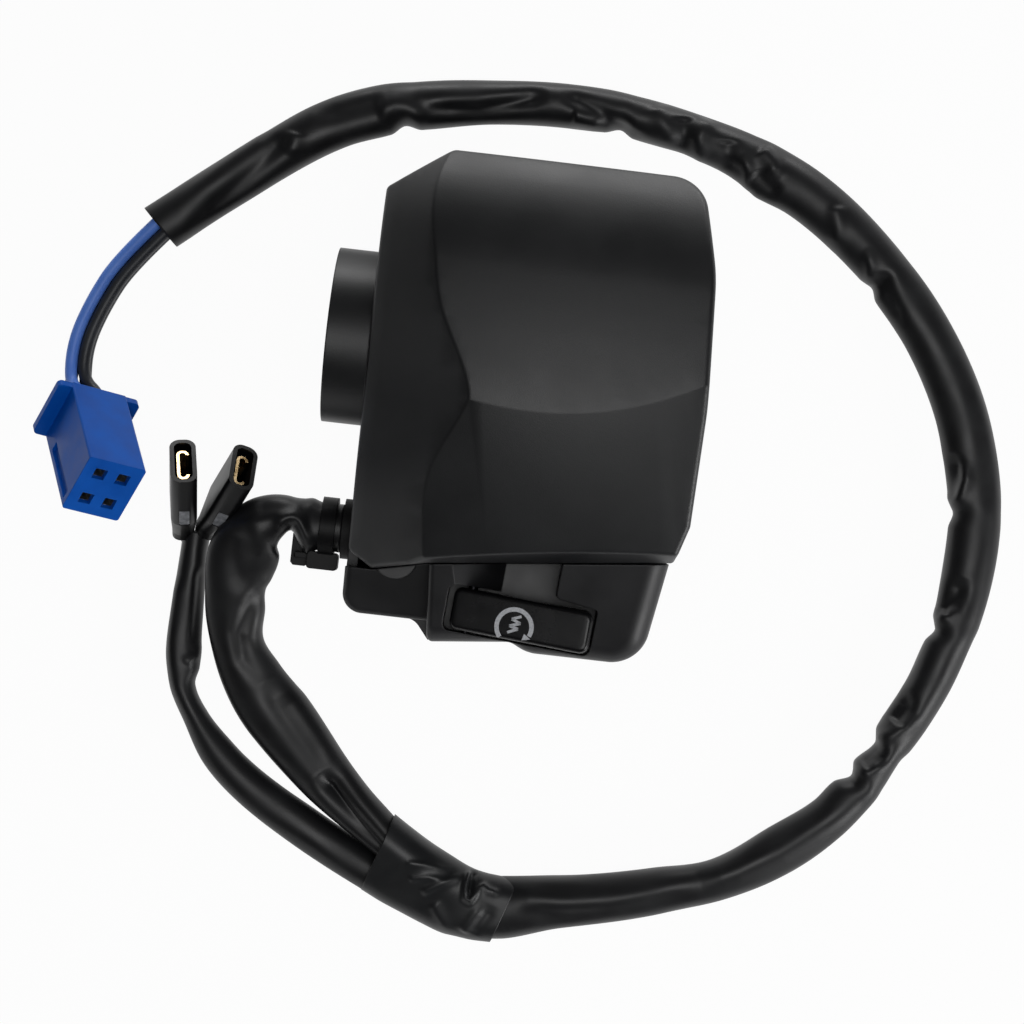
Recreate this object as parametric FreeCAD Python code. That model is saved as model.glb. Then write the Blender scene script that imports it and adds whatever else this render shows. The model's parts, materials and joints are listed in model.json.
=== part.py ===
import FreeCAD, Part
import math
import os

# A right-hand starter switch for a motorbike handlebar, with its harness.
# Lengths are in millimetres and angles in degrees.
# X runs along the handlebar, away from the rider's middle. Y points up on the bike.
# Z points at the rider. The origin is on the handlebar's axis, at the inner end of the neck.

V = FreeCAD.Vector
ABOVE = 60.0
FAR = 200.0

# Handlebar, throttle tube and the neck round them
bar_r = 11.1
sleeve_wall = 2.4
sleeve_length = 24.0
neck_r = 17.6
neck_wall = 1.6
neck_length = 8.7
neck_ribs = 6
neck_rib = 1.6
throttle_r = 15.3
throttle_lip = 2.0
throttle_lip_length = 9.0
flange_gap = 4.6
web = 2.2

# Walls of both shells
wall = 2.2
joint_gap = 0.3

# Rear cover: its outline (x, y, corner radius), its face and its bevels
left_x = 8.7
right_x = 75.4
top_y = 37.6
cover_outline = [
    (left_x, 29.0, 1.5),
    (left_x, -42.6, 2.0),
    (13.8, -45.7, 1.5),
    (25.0, -43.2, 3.0),
    (72.8, -37.9, 1.0),
    (75.0, -30.5, 2.0),
    (right_x, -8.0, 60.0),
    (74.2, 18.0, 40.0),
    (70.2, top_y - 0.4, 7.5),
    (21.1, top_y, 2.5),
]
cover_height = 33.0
face_r = 200.0
face_top_y = -4.0
face_roll_y = 14.0
face_roll_r = 38.0
face_bow_r = 400.0
face_bow_x = 47.0
corner_x = 29.4
corner_y = -9.9
left_slope = 38.0
left_crease = [
    (19.6, 45.0, -26.0),
    (19.6, 34.4, -10.0),
    (18.6, 28.8, -6.3),
    (18.8, 22.5, -3.6),
    (20.3, 14.9, -1.8),
    (22.3, 6.4, -1.0),
    (corner_x, corner_y, -0.5),
    (25.3, -23.0, -4.5),
    (26.0, -39.6, -9.6),
    (26.0, -60.0, -16.0),
]
lower_turn = 12.0
lower_slope = 17.5
lower_bow_r = 150.0
lower_bow_x = 52.0
foot_slope = 71.0
foot_y = -40.9
foot_drop = 9.5
foot_turn = 6.3
crease_fillet = 1.2

# Front case: outline, side profile (y, z, corner radius), lobe and switch pod
case_back_z = -27.0
case_outline = [
    (left_x - 0.4, 29.0, 1.5),
    (left_x - 0.4, -55.1, 4.0),
    (23.0, -55.1, 3.6),
    (26.2, -59.0, 0.0),
    (42.8, -57.2, 3.0),
    (46.3, -59.0, 8.0),
    (69.0, -59.0, 7.6),
    (73.6, -31.5, 6.0),
    (75.0, -28.0, 6.0),
    (right_x, -8.0, 60.0),
    (74.2, 18.0, 40.0),
    (70.2, top_y - 0.4, 7.5),
    (21.1, top_y, 2.5),
]
case_profile = [
    (top_y + 8.0, ABOVE, 0.0),
    (top_y + 8.0, 4.0, 0.0),
    (top_y - 0.6, -12.0, 8.0),
    (25.0, case_back_z, 9.0),
    (-46.0, case_back_z, 9.0),
    (-61.0, -15.0, 9.0),
    (-62.5, ABOVE, 0.0),
]
front_slope = 19.0
pod_z = 17.0
lobe_z = 8.0
pod_fillet = 5.0
boss_x = 18.2
boss_y = -43.0
boss_r = 4.4
boss_high = 0.6
pod_x = 25.2
lobe_fillet = 1.6
pod_left_fillet = 1.2
back_fillet = 1.5

# Case screws
screw_places = [(18.5, -24.5), (44.0, 27.0)]
screw_r = 2.4
screw_head_r = 4.2
screw_head = 3.2
screw_boss_r = 4.6
screw_seat_z = -17.5
screw_tip_z = 12.0
thread_gap = 0.06
screw_clear = 0.3
small_screw_r = 1.4
small_screw_length = 7.0
small_head_r = 2.5
small_head = 1.8

# Button, its pocket and its pivot
button_x = 30.6
button_y = -51.5
button_length = 27.8
button_width = 8.3
button_depth = 5.4
button_turn = -4.2
button_lean = 9.0
button_z = 13.4
button_skin = 1.7
pocket_gap = 0.6
pocket_end_gap = 1.3
pocket_z = 5.4
pocket_skin = 1.6
scoop_length = 19.9
scoop_start = 9.0
scoop_high = 17.0
scoop_reach = 20.0
button_fillet = 0.9
guide_depth = 1.6
pivot_in = 3.4
pivot_z = 8.6
pivot_r = 1.0
pivot_clear = 0.06
eye_r = 2.4

# Switch under the pocket
plunger_in = 4.2
plunger_side = 0.5
plunger_r = 1.4
spigot_r = 0.9
plunger_clear = 0.08
plunger_head_r = 1.7
plunger_head = 1.4
press_clear = 0.12
stem_length = 20.0
base_near = 3.2
base_far = 7.0
base_foot_reach = 13.0
base_foot_thick = 2.2
base_screw_pitch = 9.0
base_post_r = 3.2
tower = 1.4
tower_gap = 0.1
contact_spacing = 10.6
strip_half = 1.5
strip_thick = 0.7
tab_gap = 0.15
tab_drop = 3.0
return_spring_length = 7.0
contact_spring_length = 3.6
bridge_end = 1.4
bridge_length = contact_spacing + 2 * bridge_end
bridge_width = 4.0
bridge_thick = 0.8
bridge_z = -4.6
contact_gap = 1.7
contact_r = 1.5
contact_thick = 1.0
spring_r = 2.3
spring_wire = 0.5
spring_clear = 0.3
clip_r = 2.9
clip_thick = 0.6

# Outlet, sleeve and cable tie
outlet_y = -38.8
outlet_z = -13.0
nipple_r = 4.0
nipple_bore = 2.7
nipple_end_x = -0.6
collar_r = 6.2
collar_x = 6.1
sleeve_r = 5.0
branch_r = 3.9
fit_gap = 0.05
tie_x = 1.5
tie_width = 3.2
tie_thick = 1.1
tie_head_x = 6.4
tie_head_y = 3.8
tie_head_z = 5.0
tail_out = 4.7

# Harness on the surface that the part lies on
floor_z = case_back_z
lie = floor_z + 5.3
near_route = [
    (collar_x - fit_gap, outlet_y, outlet_z),
    (-0.8, outlet_y, outlet_z),
    (-9.8, -38.3, -11.8),
    (-14.5, -45.6, -13.6),
    (-14.6, -57.6, -18.4),
    (-9.0, -73.6, lie),
    (1.6, -84.8, -21.0),
    (12.6, -95.0, -19.4),
    (23.4, -103.2, -17.9),
]
branch_route = [
    (21.0, -110.2, -22.9),
    (6.6, -103.4, -22.9),
    (-6.6, -96.2, -22.9),
    (-17.6, -86.6, -22.9),
    (-24.6, -74.4, -22.9),
    (-25.8, -62.0, -22.9),
    (-24.8, -46.2, -22.9),
]
far_route = [
    (44.6, -113.6, lie),
    (61.0, -112.3, lie),
    (84.0, -105.2, lie),
    (106.8, -92.2, lie),
    (124.0, -73.2, lie),
    (135.0, -49.0, lie),
    (137.6, -22.5, lie),
    (130.8, 2.0, lie),
    (117.2, 23.4, lie),
    (97.6, 41.0, lie),
    (74.0, 52.2, lie),
    (48.5, 55.4, lie),
    (22.0, 53.3, lie),
    (-2.0, 47.2, lie),
    (-22.0, 33.6, lie),
    (-39.4, 19.3, lie),
]
tape_grow = 0.5
tape_in = 2.0

# Four-way connector and its leads
connector_width = 12.6
connector_height = 14.0
connector_length = 24.2
connector_rear = V(-50.2, -21.3, -19.0)
connector_heading = -62.0
connector_climb = 45.7
connector_roll = -45.8
flange_width = 18.5
flange_height = 13.6
flange_thick = 1.6
cavity = 3.5
mouth_size = 2.6
terminal_length = 9.0
terminal_tail_z = 4.0
cavity_pitch_x = 5.1
cavity_pitch_y = 6.6
lead_r = 1.3
lead_lay = 1.38
lead_straight = 3.0
inner_lead_r = 1.15
lead_side = 1.25
solder_up = 1.4
tab_lead = 4.0
tab_lead_more = 0.6
near_lead_left = 8.0
far_lead_left = 6.0
far_lead_up = 3.2
lead_cross = 3.0
clamp_lead = 8.0
clamp_x = 26.0
clamp_width = 5.0
clamp_thick = 1.2
clamp_foot = 6.0
clamp_back = 2.6
loose_gap = 0.3
brake_lead_side = 1.5
lead_route = [
    (-53.4, -14.6, -24.24),
    (-53.6, -6.4, -24.28),
    (-50.8, 2.2, -24.2),
    (-46.2, 11.2, -23.2),
]

# Spade terminals and their covers
cover_width = 12.0
cover_thick = 5.4
cover_length = 21.0
cover_skin = 0.9
spade_width = 8.0
spade_thick = 0.6
spade_curl_r = 1.25
spade_length = 8.0
cover_neck = 8.0
cover_shoulder = 6.5
window_width = 2.2
window_length = 4.2
window_depth = 0.5
spade_back = 1.2
spade_plate_x = 0.7
spade_tail = 3.4
left_spade_foot = V(-27.6, -43.0, -22.4)
left_spade_heading = 90.0
left_spade_climb = 47.0
left_spade_roll = 11.0
right_spade_foot = V(-22.9, -42.2, -22.0)
right_spade_heading = 61.0
right_spade_climb = 42.0
right_spade_roll = 22.0


def unit(v):
    return v * (1.0 / v.Length)


def rounded_wire(corners, place=lambda a, b: V(a, b, 0)):
    """A closed outline through the corners, each rounded by its own radius."""
    count = len(corners)
    points = [V(x, y, 0) for x, y, r in corners]
    starts, edges = [], []
    for i in range(count):
        here, radius = points[i], corners[i][2]
        back, ahead = unit(points[i - 1] - here), unit(points[(i + 1) % count] - here)
        half = back.getAngle(ahead) / 2
        reach = radius / math.tan(half)
        middle = here + unit(back + ahead) * (radius / math.sin(half) - radius) if radius else here
        starts.append((here + back * reach, middle, here + ahead * reach))
    for i in range(count):
        first, middle, last = starts[i]
        after = starts[(i + 1) % count][0]
        if corners[i][2]:
            edges.append(Part.Arc(*[place(p.x, p.y) for p in (first, middle, last)]).toShape())
        edges.append(Part.LineSegment(place(last.x, last.y), place(after.x, after.y)).toShape())
    return Part.Wire(edges)


def inset(corners, distance):
    """The outline moved inwards all round, by offset edges that meet again at the corners."""
    count = len(corners)
    area = sum(corners[i][0] * corners[(i + 1) % count][1] - corners[(i + 1) % count][0] * corners[i][1]
               for i in range(count))
    side = 1.0 if area > 0 else -1.0
    moved = []
    for i in range(count):
        here = V(corners[i][0], corners[i][1], 0)
        before = unit(here - V(corners[i - 1][0], corners[i - 1][1], 0))
        ahead = unit(V(corners[(i + 1) % count][0], corners[(i + 1) % count][1], 0) - here)
        n1, n2 = V(-before.y, before.x, 0) * side, V(-ahead.y, ahead.x, 0) * side
        shift = (n1 + n2) * (distance / (1.0 + n1.dot(n2)))
        turn = side * (before.x * ahead.y - before.y * ahead.x)
        radius = corners[i][2]
        if radius:
            radius = max(radius - distance, 0.3) if turn > 0 else radius + distance
        moved.append((here.x + shift.x, here.y + shift.y, radius))
    return moved


def prism(corners, low, high):
    face = Part.Face(rounded_wire(corners))
    face.translate(V(0, 0, low))
    return face.extrude(V(0, 0, high - low))


def side_prism(corners, x_low, x_high):
    """A prism along X from an outline drawn in Y and Z."""
    face = Part.Face(rounded_wire(corners, lambda a, b: V(x_low, a, b)))
    return face.extrude(V(x_high - x_low, 0, 0))


def block(x0, y0, z0, x1, y1, z1):
    return Part.makeBox(x1 - x0, y1 - y0, z1 - z0, V(x0, y0, z0))


def rod(radius, start, end):
    return Part.makeCylinder(radius, (end - start).Length, start, end - start)


def rod_x(radius, x0, x1, y=0.0, z=0.0):
    return rod(radius, V(x0, y, z), V(x1, y, z))


def rod_z(radius, x, y, z0, z1):
    return rod(radius, V(x, y, z0), V(x, y, z1))


def behind(point, normal):
    """The big block of space behind a plane, on the side away from its normal."""
    space = block(-FAR, -FAR, -2 * FAR, FAR, FAR, 0)
    space.Placement = FreeCAD.Placement(point, FreeCAD.Rotation(V(0, 0, 1), normal))
    return space


def upper_half():
    return block(-FAR, -FAR, 0, FAR, FAR, ABOVE)


def lower_half():
    return block(-FAR, -FAR, -ABOVE, FAR, FAR, 0)


def save(shape, name):
    solids = shape.Solids
    assert solids and shape.isValid(), name
    made = solids[0] if len(solids) == 1 else Part.makeCompound(solids)
    made.exportStep("parts/%s.step" % name)
    print("%-22s %2d solids %10.1f mm3" % (name, len(solids), made.Volume))


def face_height(y):
    return cover_height - face_r + math.sqrt(face_r ** 2 - (y - face_top_y) ** 2)


def crown(depth):
    """Everything below the cover's face: a flat arc that rolls off at the top, bowed along X."""
    centre = V(face_bow_x, face_top_y, cover_height - face_r)
    lean = math.asin((face_roll_y - face_top_y) / face_r)
    roll = centre + V(0, math.sin(lean), math.cos(lean)) * (face_r - face_roll_r)

    def on(middle, radius, angle):
        return middle + V(0, math.sin(angle), math.cos(angle)) * (radius - depth)

    low = -math.asin(80.0 / face_r)
    high = math.radians(80.0)
    first = on(centre, face_r, low)
    joint = on(centre, face_r, lean)
    last = on(roll, face_roll_r, high)
    under = -30.0
    edges = [
        Part.Arc(first, on(centre, face_r, (low + lean) / 2), joint).toShape(),
        Part.Arc(joint, on(roll, face_roll_r, (lean + high) / 2), last).toShape(),
        Part.LineSegment(last, V(face_bow_x, last.y, under)).toShape(),
        Part.LineSegment(V(face_bow_x, last.y, under), V(face_bow_x, first.y, under)).toShape(),
        Part.LineSegment(V(face_bow_x, first.y, under), first).toShape(),
    ]
    face = Part.Face(Part.Wire(edges))
    axis = V(face_bow_x, 0, cover_height - face_bow_r)
    swing = 9.0
    face.rotate(axis, V(0, 1, 0), -swing)
    return face.revolve(axis, V(0, 1, 0), 2 * swing)


def left_facet(depth):
    """Everything below the left facet: the crease's own line, carried down to the left."""
    slope = math.radians(left_slope)
    out = V(-math.sin(slope), 0, math.cos(slope)) * depth
    points = [V(0, y, cover_height + drop - x * math.tan(slope)) - out for x, y, drop in left_crease]
    line = Part.BSplineCurve()
    line.interpolate(points)
    under = V(0, 0, -3 * ABOVE)
    edges = [
        line.toShape(),
        Part.LineSegment(points[-1], points[-1] + under).toShape(),
        Part.LineSegment(points[-1] + under, points[0] + under).toShape(),
        Part.LineSegment(points[0] + under, points[0]).toShape(),
    ]
    face = Part.Face(Part.Wire(edges))
    reach = V(ABOVE, 0, ABOVE * math.tan(slope))
    face.translate(reach * -1.0)
    return face.extrude(reach * 3.0)


def cover_blank(depth):
    """The cover's outer form, or its inner one where depth is the wall."""
    low = 0.0 if depth == 0 else -1.0
    blank = prism(inset(cover_outline, depth), low, ABOVE).common(crown(depth))
    blank = blank.common(left_facet(depth))
    corner = V(corner_x, corner_y, face_height(corner_y))
    slope, turn = math.radians(lower_slope), math.radians(lower_turn)
    down = V(math.sin(turn) * math.cos(slope), -math.cos(turn) * math.cos(slope), -math.sin(slope))
    out = V(math.sin(turn) * math.sin(slope), -math.cos(turn) * math.sin(slope), math.cos(slope))
    across = lower_bow_x - corner_x
    lift = across ** 2 / (2 * lower_bow_r)
    top = V(lower_bow_x, corner_y + across * math.tan(turn), corner.z) + out * lift
    start = top - out * lower_bow_r - down * FAR
    blank = blank.common(Part.makeCylinder(lower_bow_r - depth, 2 * FAR, start, down))
    steep, level = math.radians(foot_slope), math.radians(foot_turn)
    foot = V(math.sin(level) * math.sin(steep), -math.cos(level) * math.sin(steep), math.cos(steep))
    blank = blank.common(behind(V(corner_x, foot_y, cover_height - foot_drop) - foot * depth, foot))
    return blank.removeSplitter()


def crease_edges(shape):
    """The edges between the cover's upper faces, and round its rim."""
    found = []
    for edge in shape.Edges:
        middle = edge.valueAt((edge.FirstParameter + edge.LastParameter) / 2)
        ends = [v.Point for v in edge.Vertexes]
        level = len(ends) < 2 or abs(ends[0].z - ends[1].z) < 0.8 * (ends[0] - ends[1]).Length
        if middle.z > 2.0 and level:
            found.append(edge)
    return found


def bar_sleeve(half):
    """Half of the sleeve that grips the bar, of the neck round it and of its ribs."""
    grip = rod_x(bar_r + sleeve_wall, 0, sleeve_length)
    neck = rod_x(neck_r, 0, neck_length + wall).cut(rod_x(neck_r - neck_wall, neck_wall, neck_length + wall))
    ribs = []
    for i in range(neck_ribs):
        rib = block(0, -neck_rib / 2, bar_r + 1, neck_length + wall, neck_rib / 2, neck_r - 1)
        rib.rotate(V(0, 0, 0), V(1, 0, 0), 360.0 / neck_ribs * (i + 0.5))
        ribs.append(rib)
    return grip.multiFuse([neck] + ribs).common(half)


def throttle_ring(inner, outer):
    """The lip round the throttle tube, and the web that keeps the tube's flange in."""
    start = right_x - throttle_lip_length
    lip = rod_x(throttle_r + throttle_lip, start, right_x + 5).common(outer)
    web_x = start - flange_gap - web
    keeper = block(web_x, -throttle_r - 9, -ABOVE, web_x + web, throttle_r + 9, ABOVE).common(inner)
    return lip.fuse(keeper)


def sleeve_web(inner):
    reach = neck_r + 1.0
    return block(sleeve_length - web, -reach, -ABOVE, sleeve_length, reach, ABOVE).common(inner)


def make_rear_cover():
    outer = cover_blank(0)
    outer = outer.makeFillet(crease_fillet, crease_edges(outer))
    inner = cover_blank(wall)
    pieces = [bar_sleeve(upper_half()), sleeve_web(inner).common(upper_half()),
              throttle_ring(inner, outer).common(upper_half())]
    for x, y in screw_places:
        pieces.append(rod_z(screw_boss_r - 0.6, x, y, 0, ABOVE).common(inner).common(upper_half()))
    shell = outer.cut(inner).multiFuse(pieces)
    shell = shell.cut(rod_x(bar_r, -FAR, FAR)).cut(rod_x(throttle_r, sleeve_length, FAR))
    for x, y in screw_places:
        shell = shell.cut(rod_z(screw_r + thread_gap, x, y, -1, screw_tip_z + 2.0))
    return shell.removeSplitter()


def skirt(x):
    """Where the case's raised parts start, just below the cover's skirt."""
    x0, y0, r0 = cover_outline[3]
    x1, y1, r1 = cover_outline[4]
    return y0 + (y1 - y0) * (x - x0) / (x1 - x0) - joint_gap


def pod_outline():
    return [
        (pod_x, skirt(pod_x), 0.0),
        case_outline[3],
        case_outline[4],
        case_outline[5],
        case_outline[6],
        (cover_outline[4][0] - 0.6, skirt(cover_outline[4][0] - 0.6), 0.0),
    ]


def lobe_outline():
    low = cover_outline[2][1] - joint_gap
    inside = pod_x + wall
    return [
        (case_outline[0][0], low, 0.0),
        case_outline[1],
        (inside, case_outline[1][1], 0.0),
        (inside, skirt(inside), 0.0),
        (cover_outline[3][0], skirt(cover_outline[3][0]), 0.0),
        (cover_outline[2][0], low, 0.0),
    ]


def sloped_top(corners, height, low=-6.0):
    """A raised part of the case whose front slopes away below the cover."""
    slope = math.radians(front_slope)
    normal = V(0, -math.sin(slope), math.cos(slope))
    return prism(corners, low, ABOVE).common(behind(V(0, skirt(pod_x), height), normal))


def round_front(shape, radius, wanted):
    """The shape with the wanted edges of its sloped front rounded."""
    edges = []
    for edge in shape.Edges:
        middle = edge.valueAt((edge.FirstParameter + edge.LastParameter) / 2)
        ends = [v.Point for v in edge.Vertexes]
        flat = abs(ends[0].z - ends[-1].z) < 0.7 * edge.Length
        if middle.z > 0 and flat and wanted(middle):
            edges.append(edge)
    return shape.makeFillet(radius, edges)


def left_edges(pod):
    """The pod's upper edge and its upright corner at the left."""
    found = []
    for edge in pod.Edges:
        box = edge.BoundBox
        upper = box.ZMin > 5.0 or box.YMax < case_outline[1][1]
        if box.XMax < case_outline[3][0] + 0.4 and box.ZMax > 0.5 and upper:
            found.append(edge)
    return found


def case_blank(depth):
    body = prism(inset(case_outline, depth), case_back_z - 5, 0.0)
    return body.common(side_prism(inset(case_profile, depth), -FAR, FAR))


def back_edges(shape):
    """The long edges of the case's back, at its two ends along the bar."""
    found = []
    for edge in shape.Edges:
        box = edge.BoundBox
        outside = box.XMax < left_x + 0.5 or box.XMin > cover_outline[4][0] - 6
        if outside and box.ZMin < -1.0 and box.ZMax < -0.01 and abs(box.ZMax - box.ZMin) < 15.5:
            found.append(edge)
    return found


def button_place(shape):
    """From the button's own frame, with X along it from its left end, to its place in the pod."""
    shape.rotate(V(0, 0, 0), V(0, 0, 1), button_turn)
    shape.translate(V(button_x, button_y, 0))
    return shape


def plunger_point():
    turn = math.radians(button_turn)
    along, side = button_length - plunger_in, plunger_side
    return (button_x + along * math.cos(turn) - side * math.sin(turn),
            button_y + along * math.sin(turn) + side * math.cos(turn))


def pocket_block(grow):
    """The pocket round the button and the scoop beside it, which slopes up to the left."""
    left = -pocket_end_gap - grow
    right = button_length + pocket_gap + grow
    low = -button_width / 2 - pocket_gap - grow
    high = button_width / 2 + pocket_gap + grow
    corners = [
        (left, low, 1.6),
        (right, low, 1.6),
        (right, high, 0.8),
        (scoop_length + grow, high + 0.8, 1.0),
        (scoop_length + grow, scoop_reach, 0.0),
        (scoop_start, scoop_reach, 0.0),
        (scoop_start, high, 0.0),
        (left, high, 1.6),
    ]
    pocket = prism(corners, pocket_z - grow, ABOVE)
    rise, run = scoop_high - pocket_z, scoop_start + pocket_end_gap
    down = unit(V(rise, 0, run)) * -1.0
    ramp = block(left, high - 2.0, pocket_z - grow, scoop_start + 0.01, scoop_reach, ABOVE)
    ramp = ramp.common(behind(V(scoop_start, 0, pocket_z) + down * grow, down))
    return button_place(pocket.fuse(ramp))


def make_front_case():
    base = case_blank(0)
    base = base.makeFillet(back_fillet, back_edges(base))
    pod = sloped_top(pod_outline(), pod_z)
    pod = round_front(pod, pod_fillet, lambda p: p.x > 66 or p.y < -57)
    pod = pod.makeFillet(pod_left_fillet, left_edges(pod))
    lobe = sloped_top(lobe_outline(), lobe_z)
    lobe = round_front(lobe, lobe_fillet, lambda p: (p.x < 12 and p.y < -47) or (p.y < -54 and p.x < 26))
    boss = rod_z(boss_r, boss_x, boss_y, 0, lobe_z + boss_high).common(prism(lobe_outline(), 0, ABOVE))
    outer = base.multiFuse([pod, lobe, boss])
    inner = case_blank(wall)
    roof = wall / math.cos(math.radians(front_slope))
    hollows = [sloped_top(inset(pod_outline(), wall), pod_z - roof, -0.01),
               sloped_top(inset(lobe_outline(), wall), lobe_z - roof, -0.01)]
    shell = outer.cut(inner.multiFuse(hollows))
    space = inner.multiFuse(hollows)
    pieces = [
        bar_sleeve(lower_half()),
        sleeve_web(inner).common(lower_half()),
        throttle_ring(inner, case_blank(0)).common(lower_half()),
        pocket_block(pocket_skin).common(outer),
    ]
    for x, y in screw_places:
        pieces.append(rod_z(screw_boss_r, x, y, case_back_z, 0).common(case_blank(0)))
        pieces.append(rod_z(screw_head_r + wall, x, y, case_back_z, screw_seat_z + wall).common(case_blank(0)))
    for x in base_screw_xs():
        pieces.append(rod_z(base_post_r, x, base_screw_y(), case_back_z + 0.5, base_foot_z()))
    pieces.append(rod_z(base_post_r, clamp_x, clamp_post_y(), case_back_z + 0.5, clamp_foot_z()))
    pieces.append(block(clamp_x - clamp_width / 2, outlet_y - 2.4, case_back_z + 0.5,
                        clamp_x + clamp_width / 2, outlet_y + 2.4, outlet_z - inner_lead_r - fit_gap))
    pieces.append(rod_z(pocket_skin + plunger_r + plunger_clear, plunger_point()[0], plunger_point()[1],
                        pocket_z - pocket_skin - guide_depth, pocket_z).common(space))
    shell = shell.multiFuse(pieces)
    cuts = [pocket_block(0), rod_x(bar_r, -FAR, FAR), rod_x(throttle_r, sleeve_length, FAR)]
    for x, y in screw_places:
        cuts.append(rod_z(screw_r + screw_clear, x, y, case_back_z - 1, 1))
        cuts.append(rod_z(screw_head_r + screw_clear, x, y, case_back_z - 1, screw_seat_z))
    for x in base_screw_xs():
        cuts.append(rod_z(small_screw_r + thread_gap, x, base_screw_y(), base_foot_z() - small_screw_length, 1))
    cuts.append(rod_z(small_screw_r + thread_gap, clamp_x, clamp_post_y(), clamp_foot_z() - small_screw_length, 1))
    cuts.append(rod_z(plunger_r + plunger_clear, plunger_point()[0], plunger_point()[1], -2, pocket_z + 1))
    cuts.append(rod_x(nipple_r + fit_gap, 0, 14, outlet_y, outlet_z))
    pin = rod(pivot_r + thread_gap, V(pivot_in, -pin_half(), pivot_z), V(pivot_in, pin_half(), pivot_z))
    cuts.append(button_place(pin))
    for cut in cuts:
        shell = shell.cut(cut)
    return shell.removeSplitter()


def pin_half():
    return button_width / 2 + pocket_gap + pocket_skin * 0.7


def make_case_screws():
    screws = []
    for x, y in screw_places:
        head = rod_z(screw_head_r, x, y, screw_seat_z - screw_head, screw_seat_z)
        shank = rod_z(screw_r, x, y, screw_seat_z - 0.5, screw_tip_z)
        slots = cross_slot(x, y, screw_seat_z - screw_head, screw_head_r, 1.4)
        screws.append(head.fuse(shank).cut(slots).removeSplitter())
    return Part.makeCompound(screws)


def cross_slot(x, y, face, radius, depth):
    """A cross recess that opens at the face and runs the given depth into the head."""
    half, arm = radius * 0.13, radius * 0.55
    low, high = min(face, face + depth), max(face, face + depth)
    return block(x - arm, y - half, low, x + arm, y + half, high).fuse(
        block(x - half, y - arm, low, x + half, y + arm, high))


def small_screw(x, y, seat):
    """A pan-head screw that points down from its seat."""
    head = rod_z(small_head_r, x, y, seat, seat + small_head)
    shank = rod_z(small_screw_r, x, y, seat - small_screw_length + 1.0, seat + 0.5)
    return head.fuse(shank).cut(cross_slot(x, y, seat + small_head, small_head_r, -1.0)).removeSplitter()


def make_starter_button():
    lean = math.tan(math.radians(button_lean))
    corners = [
        (0.0, -button_width / 2, 1.6),
        (button_length, -button_width / 2, 1.8),
        (button_length, button_width / 2, 1.8),
        (0.0, button_width / 2, 1.6),
    ]
    top = behind(V(0, 0, button_z), unit(V(-lean, 0, 1)))
    under = button_z - button_depth
    body = prism(corners, under, ABOVE).common(top)
    rim = [e for e in body.Edges if e.BoundBox.ZMin > under + 2.0]
    body = body.makeFillet(button_fillet, rim)
    core = prism(inset(corners, button_skin), under - 1, ABOVE)
    body = body.cut(core.common(behind(V(0, 0, button_z - button_skin), unit(V(-lean, 0, 1)))))
    rib_x = button_length - plunger_in
    half = button_width / 2 - button_skin + 0.2
    rib = block(rib_x - 1.0, -half, pivot_z + press_clear, rib_x + 1.0, half, button_z + 1.0)
    eye = rod(eye_r, V(pivot_in, -half, pivot_z), V(pivot_in, half, pivot_z))
    stalk = block(pivot_in - eye_r, -half, pivot_z, pivot_in + eye_r, half, button_z - 0.6)
    body = body.multiFuse([rib, eye, stalk])
    reach = button_width
    hole = rod(pivot_r + pivot_clear, V(pivot_in, -reach, pivot_z), V(pivot_in, reach, pivot_z))
    return button_place(body.cut(hole).removeSplitter())


def make_pivot_pin():
    half = pin_half()
    return button_place(rod(pivot_r, V(pivot_in, -half, pivot_z), V(pivot_in, half, pivot_z)))


def make_plunger():
    x, y = plunger_point()
    top = pivot_z
    head = rod_z(plunger_head_r, x, y, top - plunger_head, top)
    stem = rod_z(plunger_r, x, y, clip_under() - fit_gap, top)
    spigot = rod_z(spigot_r, x, y, top - stem_length, top - plunger_head)
    collar = rod_z(plunger_r + 0.9, x, y, collar_z(), collar_z() + 0.8)
    return head.multiFuse([stem, spigot, collar]).removeSplitter()


def collar_z():
    return bridge_z + contact_spring_length + 2 * fit_gap


def make_bridge():
    x, y = plunger_point()
    bar = block(x - bridge_length / 2, y - bridge_width / 2, bridge_z - bridge_thick,
                x + bridge_length / 2, y + bridge_width / 2, bridge_z)
    for side in (-1, 1):
        at = x + side * contact_spacing / 2
        bar = bar.fuse(rod_z(contact_r - 0.3, at, y, bridge_z - bridge_thick - 0.4, bridge_z))
    return bar.cut(rod_z(plunger_r + fit_gap, x, y, bridge_z - 5, bridge_z + 5)).removeSplitter()


def contact_top():
    return bridge_z - bridge_thick - 0.4 - contact_gap


def ledge_z():
    return contact_top() - contact_thick


def make_clip():
    x, y = plunger_point()
    top = bridge_z - bridge_thick - fit_gap
    ring = rod_z(clip_r, x, y, top - clip_thick, top).cut(rod_z(plunger_r + fit_gap, x, y, top - 3, top + 1))
    return ring.cut(block(x - 0.9, y, top - 3, x + 0.9, y + 5, top + 1))


def clip_under():
    return bridge_z - bridge_thick - fit_gap - clip_thick


def cup_floor():
    return clip_under() - return_spring_length


def spring_sleeve(x, y, low, high, radius, wire):
    """A hidden spring as one closed sleeve of its outer and inner size."""
    return rod_z(radius, x, y, low, high).cut(rod_z(radius - 2 * wire, x, y, low - 1, high + 1))


def make_return_spring():
    x, y = plunger_point()
    return spring_sleeve(x, y, cup_floor() + fit_gap, clip_under() - fit_gap, spring_r, spring_wire)


def make_contact_spring():
    x, y = plunger_point()
    low = bridge_z + fit_gap
    return spring_sleeve(x, y, low, low + contact_spring_length - fit_gap, spring_r, spring_wire * 0.6)


def base_box():
    """The switch base's low and high corners along X and Y."""
    x, y = plunger_point()
    half = bridge_length / 2 + tower_gap + tower
    return x - half, y - base_near, x + half, y + base_far


def base_foot_z():
    return cup_floor() - 1.4


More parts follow.
